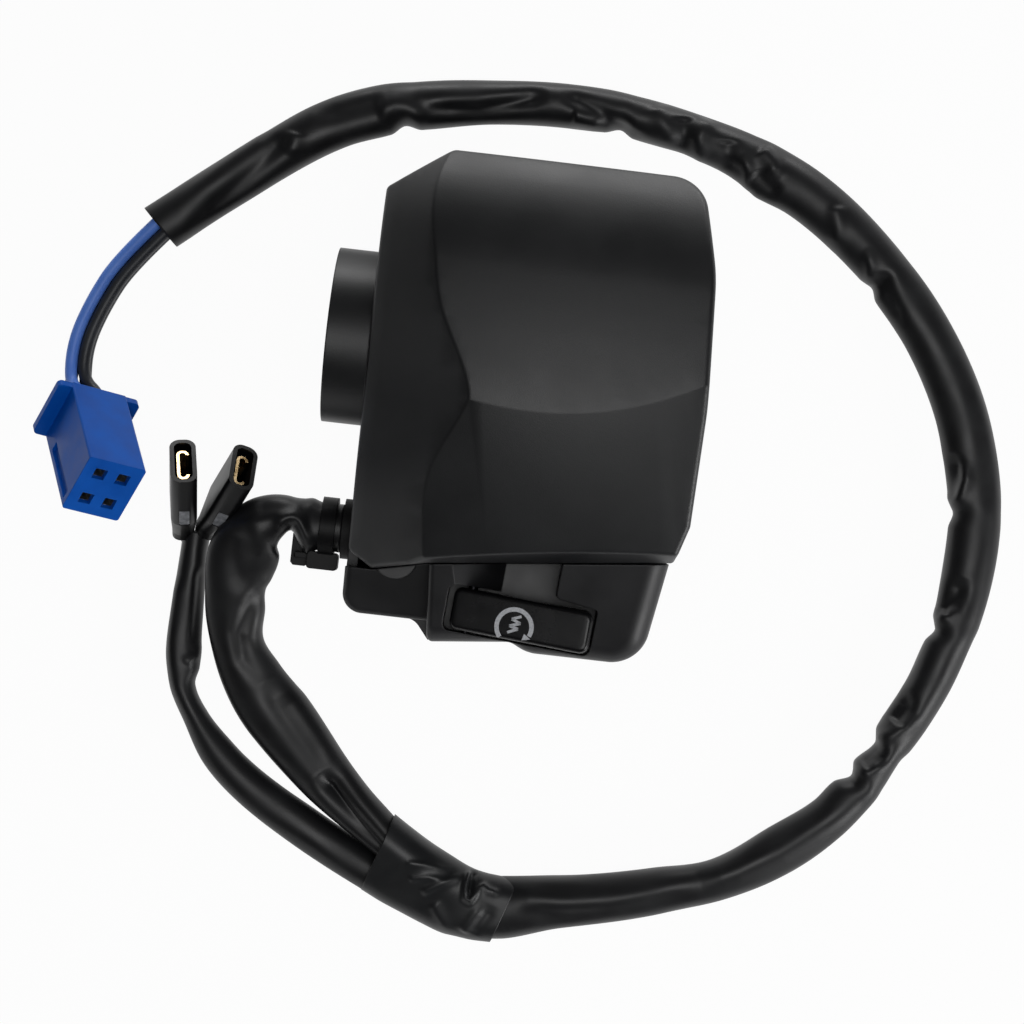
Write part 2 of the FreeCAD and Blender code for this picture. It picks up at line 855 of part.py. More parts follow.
def base_screw_xs():
    x = plunger_point()[0]
    return [x - base_screw_pitch / 2, x + base_screw_pitch / 2]


def base_screw_y():
    return base_box()[3] + base_foot_reach - base_post_r - 0.8


def make_switch_base():
    x, y = plunger_point()
    x0, y0, x1, y1 = base_box()
    low = base_foot_z()
    body = block(x0, y0, low, x1, y1, ledge_z())
    tower_top = pocket_z - pocket_skin - fit_gap
    towers = [block(x0, y0, low, x0 + tower, y1, tower_top), block(x1 - tower, y0, low, x1, y1, tower_top)]
    foot = block(x - base_screw_pitch / 2 - base_post_r - 0.6, y1 - 1, low,
                 x + base_screw_pitch / 2 + base_post_r + 0.6, y1 + base_foot_reach, low + base_foot_thick)
    body = body.multiFuse(towers + [foot])
    body = body.cut(rod_z(spring_r + spring_clear, x, y, cup_floor(), ABOVE))
    for side in (-1, 1):
        at = x + side * contact_spacing / 2
        body = body.cut(block(at - strip_half - fit_gap, y - contact_r, ledge_z() - strip_thick - fit_gap,
                              at + strip_half + fit_gap, y1 + 1, ledge_z() + 1))
    for at in base_screw_xs():
        body = body.cut(rod_z(small_screw_r + screw_clear, at, base_screw_y(), low - 1, 1))
    return body.removeSplitter()


def make_fixed_contacts():
    x, y = plunger_point()
    y1 = base_box()[3]
    contacts = []
    for side in (-1, 1):
        at = x + side * contact_spacing / 2
        button = rod_z(contact_r, at, y, ledge_z() - 0.2, contact_top())
        strip = block(at - strip_half, y - contact_r, ledge_z() - strip_thick, at + strip_half,
                      y1 + tab_gap + strip_thick, ledge_z())
        tab = block(at - strip_half, y1 + tab_gap, tab_low_z(), at + strip_half, y1 + tab_gap + strip_thick, ledge_z())
        contacts.append(button.multiFuse([strip, tab]).removeSplitter())
    return Part.makeCompound(contacts)


def tab_low_z():
    return ledge_z() - tab_drop


def make_base_screws():
    seat = base_foot_z() + base_foot_thick
    return Part.makeCompound([small_screw(x, base_screw_y(), seat) for x in base_screw_xs()])


def clamp_post_y():
    return outlet_y - clamp_back - clamp_thick - small_head_r - loose_gap


def clamp_foot_z():
    return outlet_z - inner_lead_r


def make_wire_clamp():
    """A strap over the two leads, with a foot that its screw holds."""
    x0, x1 = clamp_x - clamp_width / 2, clamp_x + clamp_width / 2
    top = outlet_z + inner_lead_r + fit_gap
    back = outlet_y - clamp_back
    strap = block(x0, back - clamp_thick, top, x1, outlet_y + 2.8, top + clamp_thick)
    side = block(x0, back - clamp_thick, clamp_foot_z(), x1, back, top + clamp_thick)
    foot = block(x0, back - clamp_thick - clamp_foot, clamp_foot_z(), x1, back, clamp_foot_z() + clamp_thick)
    shape = strap.multiFuse([side, foot])
    hole = rod_z(small_screw_r + screw_clear, clamp_x, clamp_post_y(), clamp_foot_z() - 1, clamp_foot_z() + 3)
    return shape.cut(hole).removeSplitter()


def make_clamp_screw():
    return small_screw(clamp_x, clamp_post_y(), clamp_foot_z() + clamp_thick)


def make_grommet():
    """The outlet: a nipple for the sleeve, a collar outside the wall and a flange inside it."""
    wall_x = case_outline[0][0]
    nipple = rod_x(nipple_r, nipple_end_x, wall_x + wall + 1.6, outlet_y, outlet_z)
    collar = rod_x(collar_r, collar_x, wall_x, outlet_y, outlet_z)
    flange = rod_x(nipple_r + 1.4, wall_x + wall, wall_x + wall + 1.6, outlet_y, outlet_z)
    bore = rod_x(nipple_bore, nipple_end_x - 1, wall_x + wall + 3, outlet_y, outlet_z)
    return nipple.multiFuse([collar, flange]).cut(bore).removeSplitter()


def make_cable_tie():
    """A band round the sleeve, its ratchet head below and the tail that was cut off short."""
    inner = sleeve_r + fit_gap
    outer = inner + tie_thick
    x1 = tie_x + tie_width
    band = rod_x(outer, tie_x, x1, outlet_y, outlet_z).cut(rod_x(inner, tie_x - 1, x1 + 1, outlet_y, outlet_z))
    low = outlet_y - inner
    head = block(x1 - tie_head_x + 1.1, low - tie_head_y, outlet_z - tie_head_z / 2,
                 x1 + 1.1, low - 0.2, outlet_z + tie_head_z / 2)
    head = head.makeFillet(0.8, [e for e in head.Edges if e.Length > tie_head_z - 0.1 and e.BoundBox.ZLength > 1])
    tail = block(tie_x - tail_out, low - 1.9, outlet_z - tie_head_z / 2 + 0.6, x1, low - 0.7,
                 outlet_z - tie_head_z / 2 + 0.6 + tie_width)
    end = block(tie_x - tail_out, low - 1.9, outlet_z - tie_head_z / 2 - 2.6, tie_x - tail_out + 3.6, low - 0.7,
                outlet_z - tie_head_z / 2 + 0.6 + tie_width)
    ring = rod_x(inner, tie_x - 12, x1 + 12, outlet_y, outlet_z)
    return band.multiFuse([head.cut(ring), tail.cut(ring), end.cut(ring)]).removeSplitter()


def cord_path(points, name):
    """Straight runs joined by arcs, each as large as its two runs allow."""
    edges, start, radii = [], points[0], []
    for back_point, here, next_point in zip(points, points[1:], points[2:]):
        back, ahead = back_point - here, next_point - here
        turn = math.pi - back.getAngle(ahead)
        reach = 0.45 * min(back.Length, ahead.Length)
        bend = reach / math.tan(turn / 2)
        radii.append(bend)
        first, last = here + unit(back) * reach, here + unit(ahead) * reach
        middle = here + unit(unit(back) + unit(ahead)) * (bend / math.cos(turn / 2) - bend)
        edges.append(Part.LineSegment(start, first).toShape())
        edges.append(Part.Arc(first, middle, last).toShape())
        start = last
    edges.append(Part.LineSegment(start, points[-1]).toShape())
    length = sum(e.Length for e in edges)
    print("%-22s length %6.1f radii %s" % (name, length, " ".join("%.0f" % r for r in radii)))
    return Part.Wire(edges), length


def cord(points, radius, name):
    points = [V(*p) for p in points]
    path, length = cord_path(points, name)
    ring = Part.Wire(Part.Circle(points[0], points[1] - points[0], radius).toShape())
    tube = path.makePipeShell([ring], True, False)
    assert abs(tube.Volume / (length * math.pi * radius ** 2) - 1) < 0.02, name
    return tube


def make_near_sleeve():
    """The sleeve from the outlet to the junction, with the outlet's nipple inside its first part."""
    tube = cord(near_route, sleeve_r, "harness_sleeve_near")
    return tube.cut(rod_x(nipple_r + fit_gap, nipple_end_x - fit_gap, collar_x + 1, outlet_y, outlet_z))


def tape_section(low_at, low_r, high_at, high_r, ahead):
    """An ellipse just round two circles that touch, square to the tape's direction."""
    side = unit(V(-ahead.y, ahead.x, 0))
    flat_low = V(0, 0, low_at.z) + side * low_at.dot(side)
    flat_high = V(0, 0, high_at.z) + side * high_at.dot(side)
    lean = unit(flat_high - flat_low)
    long_half = ((flat_high - flat_low).Length + low_r + high_r) / 2 + tape_grow
    centre = low_at + (high_at - low_at) * 0.5 + lean * ((high_r - low_r) / 2)
    cross = lean.cross(ahead)
    wide_half = max(low_r, high_r) + tape_grow
    return Part.Wire(Part.Ellipse(centre + lean * long_half, centre + cross * wide_half, centre).toShape())


def make_junction_tape():
    """Tape wrapped over the place where the two sleeves join the third, flat where it lies."""
    near_end, far_end = V(*near_route[-1]), V(*far_route[0])
    branch_end = V(*branch_route[0])
    ahead = unit(V(far_end.x - near_end.x, far_end.y - (near_end.y + branch_end.y) / 2, 0))
    back = -ahead * tape_in
    branch_here = branch_end + ahead * (near_end - branch_end).dot(ahead)
    low_mid = branch_here * 0.45 + V(far_end.x, far_end.y, branch_end.z) * 0.55
    high_mid = near_end * 0.45 + V(far_end.x, far_end.y, far_end.z + 1.5) * 0.55
    high_mid = high_mid + ahead * (low_mid - high_mid).dot(ahead)
    end = far_end + ahead * tape_in
    start = tape_section(branch_here + back, branch_r, near_end + back, sleeve_r, ahead)
    middle = tape_section(low_mid, branch_r, high_mid, sleeve_r - 0.2, ahead)
    small = 0.4
    finish = tape_section(end - V(0, 0, small), sleeve_r, end + V(0, 0, small), sleeve_r, ahead)
    tape = Part.makeLoft([start, middle, finish], True, False)
    return tape.common(block(-FAR, -FAR, floor_z + fit_gap, FAR, FAR, ABOVE))


def inner_lead_routes():
    """The two leads inside the case, from the tabs of the fixed contacts to the outlet."""
    x = plunger_point()[0]
    tab_y = base_box()[3] + tab_gap + strip_thick + fit_gap
    tab_z = tab_low_z() + solder_up
    near, far = x - contact_spacing / 2, x + contact_spacing / 2
    bare, end_x = fit_gap / 4, nipple_end_x
    return [
        [(near, tab_y, tab_z), (near, tab_y + tab_lead + tab_lead_more, tab_z),
         (near - near_lead_left, outlet_y + tab_lead_more, tab_z - solder_up),
         (clamp_x + clamp_lead, outlet_y - lead_side, outlet_z),
         (end_x, outlet_y - lead_side - bare, outlet_z + bare)],
        [(far, tab_y, tab_z), (far, tab_y + tab_lead, tab_z),
         (far - far_lead_left, outlet_y + lead_cross / 2, tab_z + far_lead_up),
         (near - tab_lead_more, outlet_y + lead_cross, tab_z + far_lead_up - tab_lead_more),
         (clamp_x + clamp_lead, outlet_y + lead_side, outlet_z),
         (end_x, outlet_y + lead_side + bare, outlet_z - bare)],
    ]


def make_inner_leads():
    return Part.makeCompound([cord(route, inner_lead_r, "starter_leads") for route in inner_lead_routes()])


def stand(shape, foot, heading, climb, roll):
    """A piece built along +Z, stood on its foot along the heading and climb, and rolled about itself."""
    a, b = math.radians(heading), math.radians(climb)
    along = V(math.cos(b) * math.cos(a), math.cos(b) * math.sin(a), math.sin(b))
    up = V(-math.sin(b) * math.cos(a), -math.sin(b) * math.sin(a), math.cos(b))
    turn = FreeCAD.Rotation(up.cross(along), up, along, "ZXY")
    turn = turn.multiply(FreeCAD.Rotation(V(0, 0, 1), roll))
    shape.Placement = FreeCAD.Placement(foot, turn).multiply(shape.Placement)
    return shape


def in_stand(point, foot, heading, climb, roll):
    return stand(Part.Vertex(point), foot, heading, climb, roll).Point


def connector_at(thing):
    place = (connector_rear, connector_heading, connector_climb, connector_roll)
    return in_stand(thing, *place) if isinstance(thing, V) else stand(thing, *place)


def cavity_centres():
    return [(i * cavity_pitch_x / 2, j * cavity_pitch_y / 2) for j in (1, -1) for i in (-1, 1)]


def make_connector_housing():
    w, h = connector_width / 2, connector_height / 2
    body = prism([(-w, -h, 0.6), (w, -h, 0.6), (w, h, 0.6), (-w, h, 0.6)], 0, connector_length)
    fw, fh = flange_width / 2, flange_height / 2
    flange = prism([(-fw, -fh, 1.0), (fw, -fh, 1.0), (fw, fh, 1.0), (-fw, fh, 1.0)], 0, flange_thick)
    lock = block(-3.0, -h - 2.0, flange_thick, 3.0, -h, 7.0)
    body = body.multiFuse([flange, lock])
    groove = block(-w - 1, -h + 1.4, 7.5, -w + 0.7, -h + 3.6, connector_length - 1.4)
    body = body.cut(groove)
    half = cavity / 2
    mouth = mouth_size / 2
    for x, y in cavity_centres():
        body = body.cut(block(x - half, y - half, -1, x + half, y + half, connector_length - 1.2))
        body = body.cut(block(x - mouth, y - mouth, 0, x + mouth, y + mouth, connector_length + 1))
    return connector_at(body.removeSplitter())


def make_connector_terminals():
    half = cavity / 2 - 0.15
    top = connector_length - 1.2 - fit_gap
    made = []
    for x, y in cavity_centres():
        shell = block(x - half, y - half, top - terminal_length, x + half, y + half, top)
        shell = shell.cut(block(x - half + 0.4, y - half + 0.4, top - terminal_length + 1, x + half - 0.4,
                                y + half - 0.4, top + 1))
        crimp = rod_z(lead_r + 0.35, x, y, terminal_tail_z, top - terminal_length + 0.2)
        made.append(shell.fuse(crimp).removeSplitter())
    return connector_at(Part.makeCompound(made))


lead_names = ["lead_blue", "lead_black", "lead_grey", "lead_dark"]


def lead_routes():
    """The four leads, side by side and one over the other, from the connector to the sleeve."""
    middle = [V(*p) for p in lead_route]
    end = V(*far_route[-1])
    inward = unit(V(*far_route[-2]) - end)
    routes = []
    for (x, y), side, up in zip(cavity_centres(), (-1, 1, -1, 1), (1, 1, -1, -1)):
        points = [connector_at(V(x, y, terminal_tail_z - fit_gap)), connector_at(V(x, y, -lead_straight))]
        line = points[-1:] + middle + [end]
        for i in range(1, len(line) - 1):
            ahead = unit(line[i + 1] - line[i - 1])
            across = unit(V(ahead.y, -ahead.x, 0))
            points.append(line[i] + across * (side * lead_lay) + V(0, 0, up * lead_lay))
        across = unit(V(inward.y, -inward.x, 0))
        points.append(end + inward * tape_in + across * (side * lead_lay) + V(0, 0, up * lead_lay))
        routes.append([(p.x, p.y, p.z) for p in points])
    return routes


def make_spade_cover():
    """A flat cover for a spade terminal: a wide mouth that narrows to the lead."""
    w, t = cover_width / 2, cover_thick / 2
    body = prism([(-t, -w, 2.2), (t, -w, 2.2), (t, w, 2.2), (-t, w, 2.2)], cover_neck, cover_length)
    neck = prism([(-t + 0.4, -2.9, 1.8), (t - 0.4, -2.9, 1.8), (t - 0.4, 2.9, 1.8), (-t + 0.4, 2.9, 1.8)],
                 0, cover_neck + 0.5)
    slope = Part.makeLoft([
        rounded_wire([(-t + 0.4, -2.9, 1.8), (t - 0.4, -2.9, 1.8), (t - 0.4, 2.9, 1.8), (-t + 0.4, 2.9, 1.8)]),
        raised(rounded_wire([(-t, -w, 2.2), (t, -w, 2.2), (t, w, 2.2), (-t, w, 2.2)]), cover_shoulder),
    ], True, True)
    slope.translate(V(0, 0, cover_neck - cover_shoulder))
    s = cover_skin
    core = prism([(-t + s, -w + s, 1.4), (t - s, -w + s, 1.4), (t - s, w - s, 1.4), (-t + s, w - s, 1.4)],
                 cover_neck + 0.4, cover_length + 1)
    bore = rod_z(lead_r + 0.55, 0, 0, -1, cover_neck + 1)
    window = block(-window_width / 2, w - window_depth, cover_neck, window_width / 2, w + 1,
                   cover_neck + window_length)
    return body.multiFuse([neck, slope]).cut(core).cut(bore).cut(window).removeSplitter()


def raised(wire, height):
    wire.translate(V(0, 0, height))
    return wire


def make_spade_terminal():
    """A plate with both edges curled over, and the barrel that holds the lead."""
    top = cover_length - spade_back
    low = top - spade_length
    half = spade_width / 2
    plate = block(spade_plate_x, -half + spade_curl_r, low, spade_plate_x + spade_thick, half - spade_curl_r, top)
    made = [plate]
    for side in (-1, 1):
        y = side * (half - spade_curl_r)
        x = spade_plate_x + spade_thick - spade_curl_r
        curl = rod_z(spade_curl_r, x, y, low, top).cut(rod_z(spade_curl_r - spade_thick, x, y, low - 1, top + 1))
        gap = block(x - 4, min(y, y - side * 4), low - 1, x + spade_curl_r - spade_thick, max(y, y - side * 4), top + 1)
        made.append(curl.cut(gap))
    web_x = spade_plate_x
    tongue = block(web_x, -1.05, spade_tail, web_x + spade_thick, 1.05, low + 0.5)
    barrel = rod_z(lead_r + 0.4, 0, 0, spade_tail, spade_tail + 3.6).cut(rod_z(lead_r - 0.5, 0, 0, spade_tail + 1,
                                                                         spade_tail + 5))
    return made[0].multiFuse(made[1:] + [tongue, barrel]).removeSplitter()


def spades():
    return [
        ("left", (left_spade_foot, left_spade_heading, left_spade_climb, left_spade_roll)),
        ("right", (right_spade_foot, right_spade_heading, right_spade_climb, right_spade_roll)),
    ]


def brake_lead_route(place, side):
    """From the branch sleeve's end to the barrel of a spade terminal."""
    end, before = V(*branch_route[-1]), V(*branch_route[-2])
    inward = unit(before - end)
    across = unit(V(inward.y, -inward.x, 0)) * side
    return [
        tuple(end + inward * tape_in - across * brake_lead_side),
        tuple(in_stand(V(0, 0, -spade_tail / 4), *place)),
        tuple(in_stand(V(0, 0, spade_tail - fit_gap), *place)),
    ]


def main():
    os.makedirs("parts", exist_ok=True)
    save(make_rear_cover(), "rear_cover")
    save(make_front_case(), "front_case")
    save(make_case_screws(), "case_screws")
    save(make_starter_button(), "starter_button")
    save(make_pivot_pin(), "button_pivot_pin")
    save(make_plunger(), "plunger")
    save(make_bridge(), "contact_bridge")
    save(make_clip(), "bridge_clip")
    save(make_return_spring(), "return_spring")
    save(make_contact_spring(), "contact_spring")
    save(make_switch_base(), "switch_base")
    save(make_fixed_contacts(), "fixed_contacts")
    save(make_base_screws(), "base_screws")
    save(make_wire_clamp(), "wire_clamp")
    save(make_clamp_screw(), "clamp_screw")
    save(make_inner_leads(), "starter_leads")
    save(make_grommet(), "outlet_grommet")
    save(make_cable_tie(), "cable_tie")
    save(make_near_sleeve(), "harness_sleeve_near")
    save(make_junction_tape(), "junction_tape")
    save(cord(branch_route, branch_r, "branch_sleeve"), "branch_sleeve")
    save(cord(far_route, sleeve_r, "harness_sleeve_far"), "harness_sleeve_far")
    save(make_connector_housing(), "connector_housing")
    save(make_connector_terminals(), "connector_terminals")
    for name, route in zip(lead_names, lead_routes()):
        save(cord(route, lead_r, name), name)
    for (name, place), side in zip(spades(), (-1, 1)):
        save(stand(make_spade_cover(), *place), "spade_cover_" + name)
        save(stand(make_spade_terminal(), *place), "spade_terminal_" + name)
        save(cord(brake_lead_route(place, side), lead_r, "brake_lead_" + name), "brake_lead_" + name)


main()
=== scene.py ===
import json
import math

import bmesh
import bpy
from mathutils import Matrix, Vector, noise


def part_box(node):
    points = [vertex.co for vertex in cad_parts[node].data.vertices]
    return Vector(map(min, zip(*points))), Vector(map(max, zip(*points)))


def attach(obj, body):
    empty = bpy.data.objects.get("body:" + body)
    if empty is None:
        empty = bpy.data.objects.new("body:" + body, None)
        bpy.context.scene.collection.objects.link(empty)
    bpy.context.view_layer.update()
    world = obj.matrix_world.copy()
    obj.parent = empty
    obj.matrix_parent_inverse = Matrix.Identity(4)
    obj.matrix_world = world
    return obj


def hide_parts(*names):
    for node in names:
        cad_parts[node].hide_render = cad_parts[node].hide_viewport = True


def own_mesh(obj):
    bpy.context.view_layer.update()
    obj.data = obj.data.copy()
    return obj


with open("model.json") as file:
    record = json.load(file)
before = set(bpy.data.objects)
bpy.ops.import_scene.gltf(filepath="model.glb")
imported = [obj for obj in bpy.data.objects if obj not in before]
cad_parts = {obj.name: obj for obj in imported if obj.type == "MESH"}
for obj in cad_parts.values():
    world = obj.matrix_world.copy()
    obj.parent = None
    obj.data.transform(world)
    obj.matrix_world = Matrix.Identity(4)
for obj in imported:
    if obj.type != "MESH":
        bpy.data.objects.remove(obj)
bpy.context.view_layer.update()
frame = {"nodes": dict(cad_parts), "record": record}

# A right-hand starter switch for a motorbike handlebar, lying on its back with its harness round it.
# Sizes are written in millimetres and made metres by mm(). Angles are in degrees.
MM = 0.001
NODES = frame["nodes"]
FLOOR_Z = -27.0

# The camera of the photograph: where it stands over the object, its turn and its lens
camera_place = (40.25, -31.47, 623.0)
camera_turn = 6.5
camera_lens = 108.53

# The floor: its drop below the harness, half its side in metres, the share of light that it throws
# back, and how white it is where the camera sees it
floor_drop = 0.1
floor_half = 20.0
floor_grey = 0.9
paper_white = 0.96

# The light of the sky, and the lamps: name, place and size in metres, and power in watts
sky_light = 0.07
lamp_aim = (0.04, -0.03, 0.0)
LAMPS = [
    ("overhead", (0.13, -0.14, 1.0), (0.45, 0.45), 3.0),
    ("top", (0.12, 0.95, 0.06), (0.9, 0.16), 4.6),
    ("right", (0.70, -0.38, 0.24), (0.4, 0.3), 3.0),
    ("low", (-0.35, -0.65, 0.12), (0.5, 0.05), 0.25),
]

# CAD pieces: corners closer than this are joined, and edges sharper than this stay sharp
merge_gap = 0.001
sharp_from = 28.0

# The skin of the sleeves and the tape
line_step = 0.5
tape_in = 2.0
sleeve_skin = 0.55
above_floor = 0.05
ripple_size = 14.0
ripple_high = 0.14
ripple_round = 1.3
ripple_apart = 7.3
slant_reach = 8.0
strand_blend = 0.5
wrap_steps = 110
wrap_around = 150

# A fold's reach to each side in widths, the shares of its length that rise and fade, and how far it
# goes down the side of the sleeve
fold_reach = 2.5
fold_rise = 0.12
fold_fade = 0.3
fold_side = 0.3

# The tie's cut tail
tail_left = -4.1
tail_right = -0.5
tail_top = -40.8
tail_low = -47.4
tail_corner = 0.6
tail_z = -14.0
tail_thick = 1.1

# Routes of the harness, as the control points of smooth lines
outlet_y = -38.8
outlet_z = -13.0
lie = FLOOR_Z + 5.3
near_route = [
    (6.05, outlet_y, outlet_z),
    (-0.8, outlet_y, outlet_z),
    (-9.8, -38.3, -11.8),
    (-14.5, -45.6, -13.6),
    (-14.6, -57.6, -18.4),
    (-9.0, -73.6, lie),
    (1.6, -84.8, -21.2),
    (12.6, -95.0, -20.4),
    (23.4, -103.2, -19.8),
]
branch_route = [
    (21.0, -110.2, -22.9),
    (6.6, -103.4, -22.9),
    (-6.6, -96.2, -22.9),
    (-17.6, -86.6, -22.9),
    (-24.6, -74.4, -22.9),
    (-25.8, -62.0, -22.9),
    (-25.0, -42.9, -22.9),
]
far_route = [
    (44.6, -113.6, lie),
    (61.0, -112.3, lie),
    (84.0, -105.2, lie),
    (106.8, -92.2, lie),
    (124.0, -73.2, lie),
    (135.0, -49.0, lie),
    (137.6, -22.5, lie),
    (130.8, 2.0, lie),
    (117.2, 23.4, lie),
    (97.6, 41.0, lie),
    (74.0, 52.2, lie),
    (48.5, 55.4, lie),
    (22.0, 53.3, lie),
    (-2.0, 47.2, lie),
    (-22.0, 33.6, lie),
    (-39.4, 19.3, lie),
]

# Four-way connector and its leads
connector_rear = (-50.2, -21.3, -19.0)
connector_heading = -62.0
connector_climb = 45.7
connector_roll = -45.8
cavity_pitch_x = 5.1
cavity_pitch_y = 6.6
terminal_tail = 3.95
lead_straight = 3.0
lead_r = 1.3
lead_lay = 1.38
lead_route = [
    (-53.4, -14.6, -24.24),
    (-53.6, -6.4, -24.28),
    (-50.8, 2.2, -24.2),
    (-46.2, 11.2, -23.2),
]

# Spade covers: foot, heading, climb and roll, and the recess in their upper edge
spade_left = ((-27.6, -43.0, -22.4), 90.0, 47.0, 11.0)
spade_right = ((-22.9, -42.2, -22.0), 61.0, 42.0, 22.0)
brake_lead_side = 1.5
brake_lead_gap = 0.05
brake_lead_step = 0.4
spade_tail = 3.4
cover_half = 6.0
window_start = 8.0
window_length = 4.2
window_half = 1.1
window_depth = 0.5
window_top = 0.3
window_gap = 0.05
window_corner = 0.25

# Coil springs under the button
coil_wire_r = 0.22
coil_turns = 6.0
coil_steps = 36

# Button face, for the symbol on it
button_x = 30.6
button_y = -51.5
button_turn = -4.2
button_lean = 9.0
button_z = 13.4

# The sign on the button: its middle and radius, the arc's two ends, the widths of its lines and the
# height of the ink
symbol_x = 43.2
symbol_y = -53.9
symbol_r = 3.45
arc_start = 214.0
arc_end = -33.0
arc_steps = 40
symbol_line = 0.88
bolt_line = 0.54
ink_high = 0.03


def mm(x, y, z):
    return Vector((x, y, z)) * MM


def tint(code):
    """A colour as it is seen, written in hex, made linear."""
    parts = [int(code[i:i + 2], 16) / 255 for i in (1, 3, 5)]
    return [p / 12.92 if p < 0.04045 else ((p + 0.055) / 1.055) ** 2.4 for p in parts] + [1.0]


# Materials


class Finish:
    """A procedural material that is built up node by node on Object coordinates."""

    def __init__(self, name, colour, rough, metallic=0.0, specular=0.5):
        self.material = bpy.data.materials.new(name)
        self.material.use_nodes = True
        self.nodes = self.material.node_tree.nodes
        self.links = self.material.node_tree.links
        self.shader = self.nodes["Principled BSDF"]
        self.shader.inputs["Base Color"].default_value = tint(colour)
        self.shader.inputs["Roughness"].default_value = rough
        self.shader.inputs["Metallic"].default_value = metallic
        self.shader.inputs["Specular IOR Level"].default_value = specular
        self.place = self.nodes.new("ShaderNodeTexCoord").outputs["Object"]
        self.normal = None

    def noise(self, size, detail=2.0, stretch=(1, 1, 1), place=None):
        """Noise whose spots are about the given size in millimetres."""
        spread = self.nodes.new("ShaderNodeMapping")
        spread.inputs["Scale"].default_value = stretch
        self.links.new(place or self.place, spread.inputs["Vector"])
        spots = self.nodes.new("ShaderNodeTexNoise")
        spots.inputs["Scale"].default_value = 1.0 / (size * MM)
        spots.inputs["Detail"].default_value = detail
        self.links.new(spread.outputs["Vector"], spots.inputs["Vector"])
        return spots.outputs["Fac"]

    def between(self, value, low, high, out_low, out_high):
        shift = self.nodes.new("ShaderNodeMapRange")
        sockets = ("From Min", "From Max", "To Min", "To Max")
        for socket, number in zip(sockets, (low, high, out_low, out_high)):
            shift.inputs[socket].default_value = number
        self.links.new(value, shift.inputs["Value"])
        return shift.outputs["Result"]

    def colours(self, value, first, second):
        blend = self.nodes.new("ShaderNodeMix")
        blend.data_type = "RGBA"
        blend.inputs["A"].default_value = tint(first)
        blend.inputs["B"].default_value = tint(second)
        self.links.new(value, blend.inputs["Factor"])
        self.links.new(blend.outputs["Result"], self.shader.inputs["Base Color"])

    def roughness(self, value):
        self.links.new(value, self.shader.inputs["Roughness"])

    def round_edges(self, radius):
        """Shades the sharp edges as if they were rounded by this radius in millimetres."""
        soft = self.nodes.new("ShaderNodeBevel")
        soft.samples = 6
        soft.inputs["Radius"].default_value = radius * MM
        self.normal = soft.outputs["Normal"]

    def bump(self, value, depth, strength=1.0):
        relief = self.nodes.new("ShaderNodeBump")
        relief.inputs["Distance"].default_value = depth * MM
        relief.inputs["Strength"].default_value = strength
        self.links.new(value, relief.inputs["Height"])
        if self.normal:
            self.links.new(self.normal, relief.inputs["Normal"])
        self.normal = relief.outputs["Normal"]
        self.links.new(self.normal, self.shader.inputs["Normal"])


def cover_plastic():
    """Moulded black plastic with a fine spark-eroded grain."""
    made = Finish("cover_plastic", "#131416", 0.43, specular=0.5)
    made.round_edges(0.5)
    grain = made.noise(0.26, detail=3.0)
    made.bump(grain, 0.028, 0.6)
    clouds = made.noise(14.0, detail=3.0)
    made.roughness(made.between(clouds, 0.3, 0.7, 0.4, 0.46))
    made.colours(made.between(clouds, 0.35, 0.65, 0.0, 1.0), "#121315", "#161719")
    return made.material


def case_plastic():
    made = Finish("case_plastic", "#18181a", 0.42, specular=0.4)
    made.round_edges(0.4)
    grain = made.noise(0.35, detail=3.0)
    made.bump(grain, 0.022, 0.5)
    clouds = made.noise(11.0, detail=3.0)
    made.roughness(made.between(clouds, 0.3, 0.7, 0.38, 0.5))
    made.colours(made.between(clouds, 0.35, 0.65, 0.0, 1.0), "#161618", "#1b1b1d")
    return made.material


def button_plastic():
    made = Finish("button_plastic", "#0b0b0d", 0.24, specular=0.32)
    made.round_edges(0.4)
    made.bump(made.noise(0.6, detail=2.0), 0.004, 0.5)
    clouds = made.noise(6.0, detail=3.0)
    made.roughness(made.between(clouds, 0.3, 0.7, 0.2, 0.3))
    return made.material


def inner_plastic():
    made = Finish("inner_plastic", "#9c8468", 0.55)
    clouds = made.noise(5.0, detail=3.0)
    made.colours(made.between(clouds, 0.3, 0.7, 0.0, 1.0), "#94795b", "#a58c6f")
    made.bump(made.noise(0.4), 0.02, 0.5)
    return made.material


def plated_steel(name, colour):
    made = Finish(name, colour, 0.32, metallic=1.0)
    streaks = made.noise(1.2, detail=4.0)
    made.roughness(made.between(streaks, 0.3, 0.7, 0.25, 0.42))
    made.bump(streaks, 0.006, 0.5)
    return made.material


def bright_brass(name, first, second):
    made = Finish(name, first, 0.24, metallic=1.0)
    patches = made.noise(2.2, detail=4.0)
    made.colours(made.between(patches, 0.35, 0.7, 0.0, 1.0), first, second)
    made.roughness(made.between(patches, 0.3, 0.7, 0.18, 0.36))
    made.bump(made.noise(0.5), 0.006, 0.5)
    return made.material


def outlet_rubber():
    made = Finish("grommet_rubber", "#161617", 0.6, specular=0.35)
    made.bump(made.noise(0.5, detail=3.0), 0.03, 0.6)
    return made.material


def tie_nylon():
    made = Finish("tie_nylon", "#0a0a0c", 0.46, specular=0.2)
    made.round_edges(0.3)
    made.bump(made.noise(1.0), 0.012, 0.5)
    return made.material


def soft_vinyl(name, colour, light, rough_low, rough_high, specular=0.42):
    """Thin vinyl with a satin skin that varies in gloss and has a faint waviness."""
    made = Finish(name, colour, 0.36, specular=specular)
    clouds = made.noise(9.0, detail=3.0)
    made.roughness(made.between(clouds, 0.3, 0.72, rough_low, rough_high))
    made.colours(made.between(clouds, 0.4, 0.75, 0.0, 1.0), colour, light)
    made.bump(made.noise(7.0, detail=2.0), 0.08, 0.3)
    made.bump(made.noise(0.9, detail=3.0), 0.012, 0.5)
    return made.material


